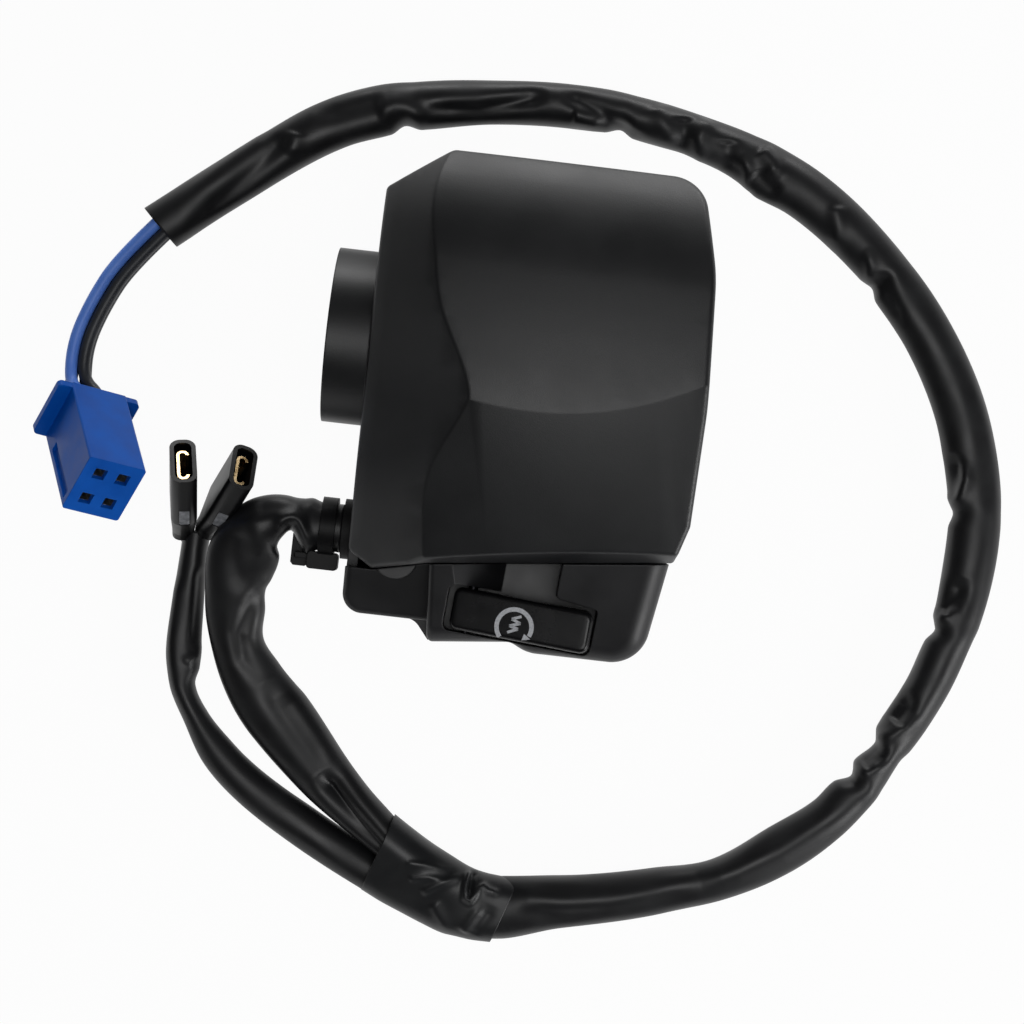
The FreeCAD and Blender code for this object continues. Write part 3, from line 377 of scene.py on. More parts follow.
def moulded_blue():
    made = Finish("connector_blue", "#0054b4", 0.42, specular=0.16)
    made.round_edges(0.25)
    clouds = made.noise(6.0, detail=3.0)
    made.colours(made.between(clouds, 0.3, 0.7, 0.0, 1.0), "#004eac", "#045abe")
    made.roughness(made.between(clouds, 0.3, 0.7, 0.36, 0.5))
    made.bump(made.noise(0.5, detail=3.0), 0.012, 0.5)
    return made.material


def wire_skin(name, first, second):
    made = Finish(name, first, 0.42, specular=0.4)
    clouds = made.noise(4.0, detail=3.0)
    made.colours(made.between(clouds, 0.3, 0.7, 0.0, 1.0), first, second)
    made.bump(made.noise(1.3), 0.03, 0.5)
    return made.material


def symbol_ink():
    made = Finish("symbol_ink", "#c9cbd0", 0.6, specular=0.3)
    specks = made.noise(0.35, detail=3.0)
    made.colours(made.between(specks, 0.3, 0.6, 0.0, 1.0), "#b9bbc1", "#d2d4d8")
    made.bump(specks, 0.01, 0.5)
    return made.material


def painted_window_highlight():
    """A pale grey plate for the recess of a spade cover: its grey is a painted highlight on the black
    vinyl.
    """
    made = Finish("painted_window_highlight", "#6c6e73", 0.4)
    specks = made.noise(1.1, detail=3.0)
    made.colours(made.between(specks, 0.35, 0.65, 0.0, 1.0), "#5a5c61", "#84868a")
    made.bump(specks, 0.03, 0.5)
    return made.material


FINISHES = {
    "cover_plastic": cover_plastic(),
    "case_plastic": case_plastic(),
    "button_plastic": button_plastic(),
    "inner_plastic": inner_plastic(),
    "screw_steel": plated_steel("screw_steel", "#1e1e20"),
    "spring_steel": plated_steel("spring_steel", "#a9aaad"),
    "contact_brass": bright_brass("contact_brass", "#c79a4a", "#dcb468"),
    "terminal_brass": bright_brass("terminal_brass", "#c4a474", "#dcc49a"),
    "terminal_tin": plated_steel("terminal_tin", "#c9c9c6"),
    "grommet_rubber": outlet_rubber(),
    "tie_nylon": tie_nylon(),
    "sleeve_vinyl": soft_vinyl("sleeve_vinyl", "#131315", "#18191b", 0.38, 0.5),
    "tape_vinyl": soft_vinyl("tape_vinyl", "#1a1b1d", "#222324", 0.36, 0.46),
    "spade_vinyl": soft_vinyl("spade_vinyl", "#08080a", "#0d0d0f", 0.34, 0.44, specular=0.25),
    "connector_blue": moulded_blue(),
    "wire_blue": wire_skin("wire_blue", "#6090f0", "#6c9af8"),
    # The black leads: black insulation, lightened to a grey that is painted sheen.
    "wire_black": wire_skin("wire_black", "#2e3034", "#383a3f"),
    "wire_grey": wire_skin("wire_grey", "#3a3c40", "#484a4f"),
}
# The pale plates in the spade covers' recesses carry a painted highlight, not the vinyl's own colour.
window_highlight_material = painted_window_highlight()
symbol_material = symbol_ink()


def set_finish(piece, slot):
    piece.data.materials.clear()
    piece.data.materials.append(FINISHES[slot])


# Mesh helpers


def new_piece(name, points, faces, slot, smooth=True):
    mesh = bpy.data.meshes.new(name)
    mesh.from_pydata([tuple(p) for p in points], [], faces)
    mesh.update()
    piece = bpy.data.objects.new(name, mesh)
    bpy.context.scene.collection.objects.link(piece)
    for face in mesh.polygons:
        face.use_smooth = smooth
    set_finish(piece, slot)
    return piece


def smooth_line(points, step):
    """Points at even steps along the smooth line that these control points pull, in metres."""
    curve = bpy.data.curves.new("line", "CURVE")
    curve.dimensions = "3D"
    curve.resolution_u = 32
    spline = curve.splines.new("NURBS")
    spline.points.add(len(points) - 1)
    for point, place in zip(spline.points, points):
        point.co = (*place, 1.0)
    spline.order_u = 3
    spline.use_endpoint_u = True
    holder = bpy.data.objects.new("line", curve)
    bpy.context.scene.collection.objects.link(holder)
    depsgraph = bpy.context.evaluated_depsgraph_get()
    mesh = bpy.data.meshes.new_from_object(holder.evaluated_get(depsgraph), depsgraph=depsgraph)
    raw = [v.co.copy() for v in mesh.vertices]
    bpy.data.objects.remove(holder)
    bpy.data.meshes.remove(mesh)
    return even_steps(raw, step)


def distances(line):
    """How far along a line each of its points is."""
    reach = [0.0]
    for a, b in zip(line, line[1:]):
        reach.append(reach[-1] + (b - a).length)
    return reach


def even_steps(raw, step):
    reach = distances(raw)
    count = max(2, round(reach[-1] / (step * MM)))
    points, i = [], 0
    for k in range(count + 1):
        want = reach[-1] * k / count
        while i < len(raw) - 2 and reach[i + 1] < want:
            i += 1
        span = reach[i + 1] - reach[i]
        points.append(raw[i].lerp(raw[i + 1], (want - reach[i]) / span if span else 0.0))
    return points


def line_length(line):
    return sum((b - a).length for a, b in zip(line, line[1:]))


def frames_along(line):
    """For each point of a line: its side and its upper direction, both square to the line."""
    found = []
    for i in range(len(line)):
        ahead = (line[min(i + 1, len(line) - 1)] - line[max(i - 1, 0)]).normalized()
        side = ahead.cross(Vector((0, 0, 1))).normalized()
        found.append((side, side.cross(ahead)))
    return found


def slope_at(table, i, column):
    """How steeply a column of the table changes at its row i."""
    low, high = table[max(i - 1, 0)], table[min(i + 1, len(table) - 1)]
    return (high[column] - low[column]) / (high[0] - low[0])


def eased(table, s):
    """The row of values at s, on a smooth curve through the rows of a table whose first column is s."""
    if s <= table[0][0]:
        return table[0][1:]
    for i in range(len(table) - 1):
        low, high = table[i], table[i + 1]
        if s <= high[0]:
            span = high[0] - low[0]
            t = (s - low[0]) / span
            found = []
            for c in range(1, len(low)):
                first, last = slope_at(table, i, c) * span, slope_at(table, i + 1, c) * span
                turn = low[c] - high[c]
                bend = -3 * turn - 2 * first - last + t * (2 * turn + first + last)
                found.append(low[c] + t * (first + t * bend))
            return found
    return table[-1][1:]


def ripple(s, turn, seed):
    """Small random unevenness of a sleeve's skin, in millimetres."""
    across, above = math.cos(turn) * ripple_round, math.sin(turn) * ripple_round
    return ripple_high * noise.noise(Vector((s / ripple_size, across, above + seed * ripple_apart)))


def along_fold(spots, x, y):
    """How far a place is from a fold's line, and how far along the line it is, from 0 to 1."""
    total = sum(math.dist(a, b) for a, b in zip(spots, spots[1:]))
    nearest, share, gone = None, 0.0, 0.0
    for (x0, y0), (x1, y1) in zip(spots, spots[1:]):
        long = math.dist((x0, y0), (x1, y1))
        t = ((x - x0) * (x1 - x0) + (y - y0) * (y1 - y0)) / long ** 2
        t = min(1.0, max(0.0, t))
        away = math.dist((x, y), (x0 + t * (x1 - x0), y0 + t * (y1 - y0)))
        if nearest is None or away < nearest:
            nearest, share = away, (gone + t * long) / total
        gone += long
    return nearest, share


def fold_height(folds, x, y):
    """How far the folds lift the skin, or sink it, at a place seen from above, in millimetres."""
    height = 0.0
    for high, wide, spots in folds:
        reach = fold_reach * wide
        if not min(p[0] for p in spots) - reach < x < max(p[0] for p in spots) + reach:
            continue
        if not min(p[1] for p in spots) - reach < y < max(p[1] for p in spots) + reach:
            continue
        away, share = along_fold(spots, x, y)
        if away < reach:
            ends = min(1.0, share / fold_rise, (1.0 - share) / fold_fade)
            height += high * ends * math.exp(-(away / wide) ** 2)
    return height


def lifted(point, middle, folds):
    """The point moved out from the sleeve's middle by the folds that run over it."""
    out = point - middle
    upper = min(1.0, max(0.0, out.z / out.length + fold_side))
    if upper == 0.0:
        return point
    return point + out.normalized() * (fold_height(folds, point.x / MM, point.y / MM) * upper * MM)


def skin_tube(name, line, slot, sizes, folds, seed, around=80, open_end=0.0, end_slant=0.0):
    """A thin sleeve along a line.

    The rows of sizes are the distance along it, its reach to the left and to the right, and half its
    height. The rows of folds are a fold's height, its width and its line as seen from above.
    """
    frames = frames_along(line)
    total = line_length(line) / MM
    step = total / (len(line) - 1)

    def ring(i, shrink=0.0):
        s = i * step
        left, right, half_height = eased(sizes, s)
        side, up = frames[i]
        middle = line[i] + side * ((left + right) / 2 * MM)
        ahead = up.cross(side)
        near_end = max(0.0, 1.0 - (total - s) / slant_reach)
        points = []
        for k in range(around):
            turn = math.radians(360.0 * k / around)
            extra = ripple(s, turn, seed) - shrink
            wide = ((right - left) / 2 + extra) * math.cos(turn)
            high = (half_height + extra) * math.sin(turn)
            point = middle + side * (wide * MM) + up * (high * MM)
            point = lifted(point, middle, folds)
            point += ahead * (end_slant * near_end * wide * MM)
            point.z = max(point.z, (FLOOR_Z + above_floor) * MM)
            points.append(point)
        return points

    rings = [ring(i) for i in range(len(line))]
    if open_end:
        rings += [ring(len(line) - 1 - k, sleeve_skin) for k in range(round(open_end / step) + 1)]
    return closed_rings(name, rings, slot)


def closed_rings(name, rings, slot, smooth=True):
    around = len(rings[0])
    points = [p for ring in rings for p in ring]
    faces = []
    for r in range(len(rings) - 1):
        for k in range(around):
            a, b = r * around + k, r * around + (k + 1) % around
            faces.append((a, b, b + around, a + around))
    start, end = len(points), len(points) + 1
    points.append(sum(rings[0], Vector()) / around)
    points.append(sum(rings[-1], Vector()) / around)
    last = (len(rings) - 1) * around
    for k in range(around):
        faces.append((start, (k + 1) % around, k))
        faces.append((end, last + k, last + (k + 1) % around))
    return new_piece(name, points, faces, slot, smooth)


def round_tube(name, line, radius, slot, around=20):
    frames = frames_along(line)
    rings = []
    for point, (side, up) in zip(line, frames):
        turns = [2 * math.pi * k / around for k in range(around)]
        rings.append([point + (side * math.cos(t) + up * math.sin(t)) * (radius * MM) for t in turns])
    return closed_rings(name, rings, slot)


def outward_faces(piece):
    shape = bmesh.new()
    shape.from_mesh(piece.data)
    bmesh.ops.recalc_face_normals(shape, faces=shape.faces)
    shape.to_mesh(piece.data)
    shape.free()


def flat_plate(name, points, slot):
    """A plate from the points of its lower outline, followed by those of its upper outline."""
    count = len(points) // 2
    faces = [tuple(range(count)), tuple(reversed(range(count, 2 * count)))]
    faces += [(k, (k + 1) % count, (k + 1) % count + count, k + count) for k in range(count)]
    piece = new_piece(name, points, faces, slot, smooth=False)
    outward_faces(piece)
    return piece


# Camera and stage


def make_camera():
    data = bpy.data.cameras.new("camera")
    data.lens = camera_lens
    data.sensor_width = 36.0
    data.clip_start = 0.01
    camera = bpy.data.objects.new("camera", data)
    camera.location = mm(*camera_place)
    camera.rotation_euler = (0, 0, math.radians(camera_turn))
    bpy.context.scene.collection.objects.link(camera)
    bpy.context.scene.camera = camera


def make_lamp(name, place, aim, size, power):
    data = bpy.data.lights.new(name, "AREA")
    data.shape = "RECTANGLE"
    data.size, data.size_y = size
    data.energy = power
    lamp = bpy.data.objects.new(name, data)
    lamp.location = place
    lamp.rotation_euler = (Vector(aim) - Vector(place)).to_track_quat("-Z", "Y").to_euler()
    bpy.context.scene.collection.objects.link(lamp)


def make_floor():
    mesh = bpy.data.meshes.new("floor")
    half = floor_half
    z = (FLOOR_Z - floor_drop) * MM
    corners = [(-half, -half, z), (half, -half, z), (half, half, z), (-half, half, z)]
    mesh.from_pydata(corners, [], [(0, 1, 2, 3)])
    floor = bpy.data.objects.new("floor", mesh)
    bpy.context.scene.collection.objects.link(floor)
    material = bpy.data.materials.new("floor_paper")
    material.use_nodes = True
    nodes, links = material.node_tree.nodes, material.node_tree.links
    paper = nodes["Principled BSDF"]
    paper.inputs["Base Color"].default_value = (floor_grey, floor_grey, floor_grey, 1.0)
    paper.inputs["Roughness"].default_value = 0.9
    white = nodes.new("ShaderNodeEmission")
    white.inputs["Strength"].default_value = 1.0
    rays = nodes.new("ShaderNodeLightPath")
    seen = rays.outputs["Is Camera Ray"]
    for kind in ("Is Glossy Ray", "Is Transmission Ray"):
        either = nodes.new("ShaderNodeMath")
        either.operation = "MAXIMUM"
        links.new(seen, either.inputs[0])
        links.new(rays.outputs[kind], either.inputs[1])
        seen = either.outputs["Value"]
    share = nodes.new("ShaderNodeMath")
    share.operation = "MULTIPLY"
    share.inputs[1].default_value = paper_white
    links.new(seen, share.inputs[0])
    blend = nodes.new("ShaderNodeMixShader")
    links.new(share.outputs["Value"], blend.inputs["Fac"])
    links.new(paper.outputs["BSDF"], blend.inputs[1])
    links.new(white.outputs["Emission"], blend.inputs[2])
    links.new(blend.outputs["Shader"], nodes["Material Output"].inputs["Surface"])
    mesh.materials.append(material)


def make_light():
    world = bpy.data.worlds.new("studio")
    world.use_nodes = True
    sky = world.node_tree.nodes["Background"]
    sky.inputs["Color"].default_value = (1.0, 1.0, 1.0, 1.0)
    sky.inputs["Strength"].default_value = sky_light
    bpy.context.scene.world = world
    for name, place, size, power in LAMPS:
        make_lamp(name, place, lamp_aim, size, power)


def make_stage():
    make_camera()
    make_floor()
    make_light()
    bpy.context.scene.view_settings.view_transform = "Standard"


# The pieces that come from the CAD, smoothed and dressed


def soften(piece):
    """Joins the CAD triangles, and shades them smooth except at sharp edges."""
    tree = bpy.data.node_groups.get("soften")
    if not tree:
        tree = bpy.data.node_groups.new("soften", "GeometryNodeTree")
        tree.interface.new_socket("Geometry", in_out="INPUT", socket_type="NodeSocketGeometry")
        tree.interface.new_socket("Geometry", in_out="OUTPUT", socket_type="NodeSocketGeometry")
        start, end = tree.nodes.new("NodeGroupInput"), tree.nodes.new("NodeGroupOutput")
        merge = tree.nodes.new("GeometryNodeMergeByDistance")
        merge.inputs["Distance"].default_value = merge_gap * MM
        smooth = tree.nodes.new("GeometryNodeSetShadeSmooth")
        crisp = tree.nodes.new("GeometryNodeSetShadeSmooth")
        crisp.domain = "EDGE"
        crisp.inputs["Shade Smooth"].default_value = False
        bend = tree.nodes.new("GeometryNodeInputMeshEdgeAngle")
        sharp = tree.nodes.new("FunctionNodeCompare")
        sharp.operation = "GREATER_THAN"
        sharp.inputs["B"].default_value = math.radians(sharp_from)
        tree.links.new(start.outputs[0], merge.inputs["Geometry"])
        tree.links.new(merge.outputs["Geometry"], smooth.inputs["Geometry"])
        tree.links.new(smooth.outputs["Geometry"], crisp.inputs["Geometry"])
        tree.links.new(bend.outputs["Unsigned Angle"], sharp.inputs["A"])
        tree.links.new(sharp.outputs["Result"], crisp.inputs["Selection"])
        tree.links.new(crisp.outputs["Geometry"], end.inputs[0])
    modifier = piece.modifiers.new("soften", "NODES")
    modifier.node_group = tree


def dress_nodes():
    slots = {part["node"]: part["material_slot"] for part in frame["record"]["subparts"]}
    for name, piece in NODES.items():
        set_finish(piece, slots[name])
        soften(piece)


# The harness


def metres(route):
    return [mm(*point) for point in route]


def make_near_sleeve():
    """The sleeve from the outlet: held by the tie, folded over at the turn, then down to the tape."""
    line = smooth_line(metres(near_route), line_step)
    sizes = [
        (0.0, -5.05, 5.05, 5.05),
        (4.8, -5.05, 5.05, 5.05),
        (6.8, -6.4, 5.6, 5.0),
        (8.6, -4.2, 5.3, 5.3),
        (10.4, -1.8, 5.2, 5.4),
        (12.4, -3.4, 5.4, 5.3),
        (14.4, -4.7, 5.6, 5.0),
        (17.0, -5.6, 6.0, 4.6),
        (20.5, -7.1, 6.6, 3.9),
        (24.5, -7.5, 7.2, 3.4),
        (28.5, -7.0, 7.0, 3.6),
        (32.0, -6.0, 6.7, 4.1),
        (37.5, -5.6, 6.8, 4.3),
        (44.0, -4.2, 6.8, 4.4),
        (51.0, -5.8, 6.9, 4.5),
        (61.0, -7.2, 6.8, 4.6),
        (76.0, -6.0, 5.9, 4.9),
        (86.0, -4.9, 5.0, 5.0),
        (92.0, -4.6, 4.6, 4.9),
        (98.0, -4.2, 4.2, 4.5),
    ]
    folds = [
        (-0.8, 1.9, [(-7.5, -52.0), (-11.4, -58.1), (-12.9, -62.8), (-11.6, -68.1), (-7.0, -72.7)]),
        (0.5, 2.2, [(-12.7, -38.2), (-10.9, -44.1), (-10.8, -49.5)]),
        (-0.5, 2.2, [(-15.4, -41.5), (-15.2, -47.7), (-12.7, -54.7)]),
        (0.6, 1.1, [(-6.6, -40.6), (-6.2, -38.2), (-4.6, -37.3), (-2.6, -38.2), (-0.6, -41.6),
                    (1.4, -45.2)]),
        (-0.5, 1.8, [(-12.3, -36.3), (-6.8, -35.6), (-1.0, -35.2)]),
        (-0.6, 2.4, [(-6.4, -72.0), (-2.4, -78.0), (5.8, -87.5), (13.8, -95.7)]),
        (-2.4, 2.4, [(7.0, -89.5), (14.0, -97.2), (20.5, -104.2), (27.0, -109.0)]),
        (0.5, 2.6, [(-1.2, -73.3), (5.5, -80.9), (10.9, -88.6)]),
    ]
    piece = skin_tube("outlet_sleeve", line, "sleeve_vinyl", sizes, folds, 1)
    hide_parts("harness_sleeve_near")
    return piece, line


def make_branch_sleeve():
    line = smooth_line(metres(branch_route), line_step)
    sizes = [
        (0.0, -4.1, 4.1, 3.8),
        (10.0, -4.2, 4.4, 3.7),
        (23.0, -4.0, 4.6, 3.6),
        (42.0, -3.7, 3.8, 3.6),
        (51.0, -2.7, 2.6, 3.6),
        (58.0, -3.1, 2.1, 3.7),
        (61.5, -3.1, 3.6, 3.5),
        (66.0, -3.2, 4.1, 3.4),
        (76.0, -2.8, 3.9, 3.4),
        (87.0, -2.6, 3.1, 3.4),
    ]
    folds = [
        (-0.8, 1.6, [(-22.3, -50.0), (-21.9, -62.3), (-22.6, -68.6)]),
        (0.5, 1.0, [(-24.0, -70.6), (-21.7, -68.5), (-20.8, -65.2)]),
        (0.4, 1.6, [(-27.4, -52.5), (-27.0, -66.0), (-25.0, -78.2)]),
    ]
    piece = skin_tube("brake_branch_sleeve", line, "sleeve_vinyl", sizes, folds, 2, around=48, open_end=4.0)
    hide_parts("branch_sleeve")
    return piece, line


def make_far_sleeve():
    """The long sleeve, with a fold at each place where its inner side gives way to the bend."""
    line = smooth_line(metres(far_route), line_step)
    sizes = [
        (0.0, -6.0, 7.0, 4.9),
        (4.0, -6.2, 6.8, 4.9),
        (15.0, -6.2, 4.9, 4.9),
        (36.0, -4.6, 5.0, 4.8),
        (48.0, -2.6, 6.2, 4.6),
        (62.0, -3.6, 6.8, 4.6),
        (74.0, -3.0, 6.2, 4.7),
        (80.0, -3.4, 5.6, 4.8),
        (83.8, -1.8, 5.2, 4.9),
        (86.5, -3.6, 4.6, 5.0),
        (92.4, -2.8, 3.6, 5.1),
        (95.5, -4.6, 4.0, 5.0),
        (108.0, -4.8, 4.2, 5.0),
        (117.0, -5.0, 4.2, 5.0),
        (120.4, -3.8, 4.4, 5.0),
        (123.5, -5.2, 4.8, 4.9),
        (143.0, -5.5, 5.5, 4.7),
        (146.6, -4.5, 5.5, 4.7),
        (150.0, -5.6, 5.6, 4.7),
        (168.5, -5.2, 5.7, 4.7),
        (185.0, -5.4, 5.2, 4.8),
        (197.0, -5.8, 4.8, 4.9),
        (200.2, -4.7, 4.7, 4.9),
        (203.5, -5.5, 4.7, 4.9),
        (225.0, -6.4, 4.6, 4.8),
        (233.0, -7.4, 4.2, 4.7),
        (236.3, -6.8, 4.0, 4.7),
        (240.0, -6.4, 3.6, 4.8),
        (252.0, -5.8, 3.0, 5.0),
        (264.0, -5.5, 3.4, 5.0),
        (267.0, -4.2, 3.6, 5.0),
        (270.5, -5.2, 3.8, 4.9),
        (293.0, -5.0, 4.2, 4.8),
        (310.0, -5.0, 5.0, 4.8),
        (313.5, -3.7, 5.4, 4.8),
        (317.0, -5.0, 5.7, 4.7),
        (327.0, -4.8, 5.9, 4.6),
        (345.0, -5.0, 5.4, 4.7),
        (364.0, -5.2, 5.1, 4.7),
        (372.0, -5.3, 5.2, 4.7),
    ]
    folds = low_folds() + right_folds() + top_folds()
    piece = skin_tube("long_sleeve", line, "sleeve_vinyl", sizes, folds, 5, open_end=6.0, end_slant=0.12)
    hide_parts("harness_sleeve_far")
    return piece, line


def low_folds():
    """Folds of the long sleeve below the housing: height, width and the line of each from above."""
    return [
        (0.6, 2.2, [(47.8, -110.4), (59.3, -110.9), (69.6, -109.8), (79.7, -106.7), (87.7, -103.5)]),
        (0.6, 2.2, [(87.7, -103.5), (95.6, -99.5), (103.5, -95.1), (108.8, -90.5), (114.0, -86.3),
                    (119.2, -83.2)]),
        (-0.5, 2.0, [(50.3, -113.9), (61.7, -113.2), (73.9, -110.1), (85.9, -105.6), (95.9, -102.0)]),
        (0.7, 1.4, [(116.6, -78.3), (119.3, -76.8), (121.7, -75.2), (122.5, -73.3)]),
        (-0.6, 2.1, [(118.3, -75.2), (120.6, -73.3), (122.4, -70.8)]),
        (0.8, 1.4, [(120.5, -70.4), (123.8, -68.5), (126.5, -66.3), (128.3, -63.4)]),
        (-1.1, 2.0, [(123.7, -65.8), (125.8, -62.4), (125.2, -59.0)]),
    ]


def right_folds():
    return [
        (0.7, 1.2, [(130.2, -45.7), (132.2, -42.7), (134.4, -40.6)]),
        (-1.1, 2.2, [(130.8, -42.0), (133.7, -37.9), (134.5, -34.1)]),
        (0.7, 1.2, [(131.0, -21.5), (132.3, -18.1), (133.1, -14.2), (132.4, -10.1)]),
        (-1.0, 1.8, [(129.1, -17.8), (130.1, -13.3), (130.0, -8.7)]),
        (0.6, 1.2, [(109.2, 23.2), (108.5, 27.3), (107.0, 31.3)]),
        (-0.7, 1.8, [(110.5, 26.6), (112.7, 21.9), (116.0, 15.2)]),
        (0.5, 1.6, [(99.8, 39.4), (100.8, 34.3), (100.9, 29.7)]),
        (0.6, 1.2, [(81.0, 40.0), (81.1, 44.2), (79.3, 47.7)]),
        (-0.7, 1.7, [(82.6, 44.4), (84.9, 42.1), (88.1, 40.0)]),
        (1.0, 1.7, [(83.2, 49.4), (85.6, 46.8), (86.9, 43.2)]),
    ]


def top_folds():
    return [
        (0.8, 1.9, [(71.5, 54.5), (70.0, 50.0), (70.9, 46.0), (73.8, 43.4)]),
        (-0.8, 2.0, [(76.0, 50.4), (77.0, 42.0)]),
        (0.5, 1.9, [(60.6, 56.0), (62.4, 52.0), (65.2, 46.6)]),
        (-0.8, 1.9, [(66.4, 54.2), (67.6, 46.4)]),
        (-0.9, 1.8, [(40.7, 56.3), (48.6, 53.0), (56.2, 48.4), (63.0, 44.2)]),
        (0.7, 2.0, [(43.3, 51.6), (50.5, 50.7)]),
        (-1.1, 1.8, [(37.9, 55.5), (31.3, 52.9), (23.8, 50.4), (13.9, 49.5), (9.2, 50.8)]),
        (-0.5, 2.1, [(4.4, 50.3), (0.4, 48.6), (-4.6, 46.9), (-10.3, 45.9)]),
        (0.6, 2.1, [(2.8, 47.8), (6.4, 49.5), (10.3, 48.2), (13.8, 46.7)]),
        (-0.9, 2.2, [(-14.8, 41.2), (-19.5, 34.4), (-26.1, 26.5), (-33.5, 18.2)]),
        (0.5, 1.8, [(-13.2, 41.8), (-13.9, 36.7)]),
        (0.4, 2.0, [(-19.0, 41.5), (-27.9, 31.8), (-36.2, 23.3)]),
    ]


def wrap_ring(strands, ahead, spread):
    """A skin round two strands, square to the direction ahead, as evenly spaced points."""
    up = Vector((0, 0, 1))
    side = ahead.cross(up).normalized()
    outline = []
    fine = 360
    for k in range(fine):
        turn = 2 * math.pi * k / fine
        out = side * math.cos(turn) + up * math.sin(turn)
        reaches = [centre.dot(out) + radius for centre, radius in strands]
        top = max(reaches)
        shares = [math.exp((reach - top) / spread) for reach in reaches]
        spot = Vector()
        for (centre, radius), share in zip(strands, shares):
            spot += (centre + out * radius) * (share / sum(shares))
        outline.append(spot)
    return even_ring(outline, wrap_around)


def even_ring(outline, count):
    loop = outline + [outline[0]]
    reach = distances(loop)
    points, i = [], 0
    for k in range(count):
        want = reach[-1] * k / count
        while reach[i + 1] < want:
            i += 1
        points.append(loop[i].lerp(loop[i + 1], (want - reach[i]) / (reach[i + 1] - reach[i])))
    return points


def make_tape():
    """Vinyl tape wound over the junction: flat between the two strands, creased where they merge."""
    near_end, branch_end, far_end = Vector(near_route[-1]), Vector(branch_route[0]), Vector(far_route[0])
    ahead = Vector((far_end.x - near_end.x, far_end.y - (near_end.y + branch_end.y) / 2, 0)).normalized()
    side = ahead.cross(Vector((0, 0, 1)))
    folds = [
        (0.3, 0.7, [(26.4, -106.2), (30.5, -106.0), (36.3, -106.6)]),
        (0.3, 0.7, [(27.3, -109.4), (31.5, -108.6), (35.6, -108.8)]),
        (0.5, 0.9, [(30.3, -112.1), (33.4, -110.2), (36.5, -108.5), (39.9, -106.9)]),
        (0.4, 1.2, [(33.0, -113.5), (35.0, -116.5), (37.3, -120.2)]),
        (1.0, 0.6, [(39.9, -105.9), (39.3, -109.0), (39.6, -112.0), (40.7, -112.6), (41.6, -111.0),
                    (42.6, -108.6)]),
        (-0.9, 0.7, [(41.0, -106.4), (40.5, -109.7), (40.6, -111.1)]),
        (0.6, 0.8, [(42.4, -108.8), (44.2, -110.0), (46.8, -110.6)]),
        (0.5, 1.2, [(39.8, -119.4), (41.9, -115.4), (43.7, -112.9)]),
        (-0.4, 1.4, [(42.2, -119.4), (44.4, -115.4), (45.6, -112.8)]),
    ]
    rows = [
        # distance along, then edge, radius and height of the strand above, and of the one below
        (-2.2, 6.1, 5.4, -19.6, -11.3, 4.6, -21.6),
        (2.5, 4.9, 5.4, -19.8, -11.9, 4.7, -21.5),
        (7.0, 3.9, 5.4, -20.0, -12.2, 4.8, -21.5),
        (12.0, 3.1, 5.4, -20.4, -12.5, 5.0, -21.6),
        (16.7, 2.5, 5.4, -20.8, -12.6, 5.1, -21.7),
        (20.0, 2.7, 5.3, -21.1, -12.0, 5.1, -21.7),
        (23.0, 3.3, 5.2, -21.4, -11.4, 5.1, -21.7),
        (26.8, 4.1, 5.1, -21.6, -10.2, 5.1, -21.7),
    ]
    rings = []
    for k in range(wrap_steps + 1):
        s = rows[0][0] + (rows[-1][0] - rows[0][0]) * k / wrap_steps
        high_edge, high_r, high_z, low_edge, low_r, low_z = eased(rows, s)
        base = near_end + ahead * s
        high = base - side * (high_edge - high_r)
        low = base - side * (low_edge + low_r)
        upper = (Vector((high.x, high.y, high_z)) * MM, high_r * MM)
        lower = (Vector((low.x, low.y, low_z)) * MM, low_r * MM)
        ring = wrap_ring([upper, lower], ahead, strand_blend * MM)
        middle = sum(ring, Vector()) / len(ring)
        ring = [lifted(point, middle, folds) for point in ring]
        for point in ring:
            point.z = max(point.z, (FLOOR_Z + above_floor) * MM)
        rings.append(ring)
    piece = closed_rings("junction_wrap", rings, "tape_vinyl")
    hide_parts("junction_tape")
    return piece


def stand_axes(heading, climb, roll):
    """The X, Y and Z directions of a piece that stands along its heading and climb, rolled about itself."""
    a, b = math.radians(heading), math.radians(climb)
    along = Vector((math.cos(b) * math.cos(a), math.cos(b) * math.sin(a), math.sin(b)))
    up = Vector((-math.sin(b) * math.cos(a), -math.sin(b) * math.sin(a), math.cos(b)))
    across = up.cross(along)
    turn = Matrix.Rotation(math.radians(roll), 3, along)
    return turn @ across, turn @ up, along


def in_stand(place, x, y, z):
    foot, heading, climb, roll = place
    ax, ay, az = stand_axes(heading, climb, roll)
    return Vector(foot) + ax * x + ay * y + az * z


def in_connector(x, y, z):
    return in_stand((connector_rear, connector_heading, connector_climb, connector_roll), x, y, z)


def lead_points(side, up):
    """One lead's control points: out of its cavity, over to the bundle and into the long sleeve."""
    x, y = side * cavity_pitch_x / 2, up * cavity_pitch_y / 2
    points = [in_connector(x, y, terminal_tail), in_connector(x, y, -lead_straight)]
    end = Vector(far_route[-1])
    inward = (Vector(far_route[-2]) - end).normalized()
    middle = points[-1:] + [Vector(p) for p in lead_route] + [end]
    for i in range(1, len(middle) - 1):
        ahead = (middle[i + 1] - middle[i - 1]).normalized()
        across = Vector((ahead.y, -ahead.x, 0)).normalized()
        points.append(middle[i] + across * (side * lead_lay) + Vector((0, 0, up * lead_lay)))
    across = Vector((inward.y, -inward.x, 0)).normalized()
    points.append(end + inward * tape_in + across * (side * lead_lay) + Vector((0, 0, up * lead_lay)))
    return [p * MM for p in points]


def make_leads():
    made = []
    rows = [
        ("lead_blue", "wire_blue", -1, 1),
        ("lead_black", "wire_black", 1, 1),
        ("lead_grey", "wire_grey", -1, -1),
        ("lead_dark", "wire_black", 1, -1),
    ]
    for name, slot, side, up in rows:
        line = smooth_line(lead_points(side, up), line_step)
        piece = round_tube(name + "_wire", line, lead_r, slot)
        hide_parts(name)
        made.append((piece, line))
    return made


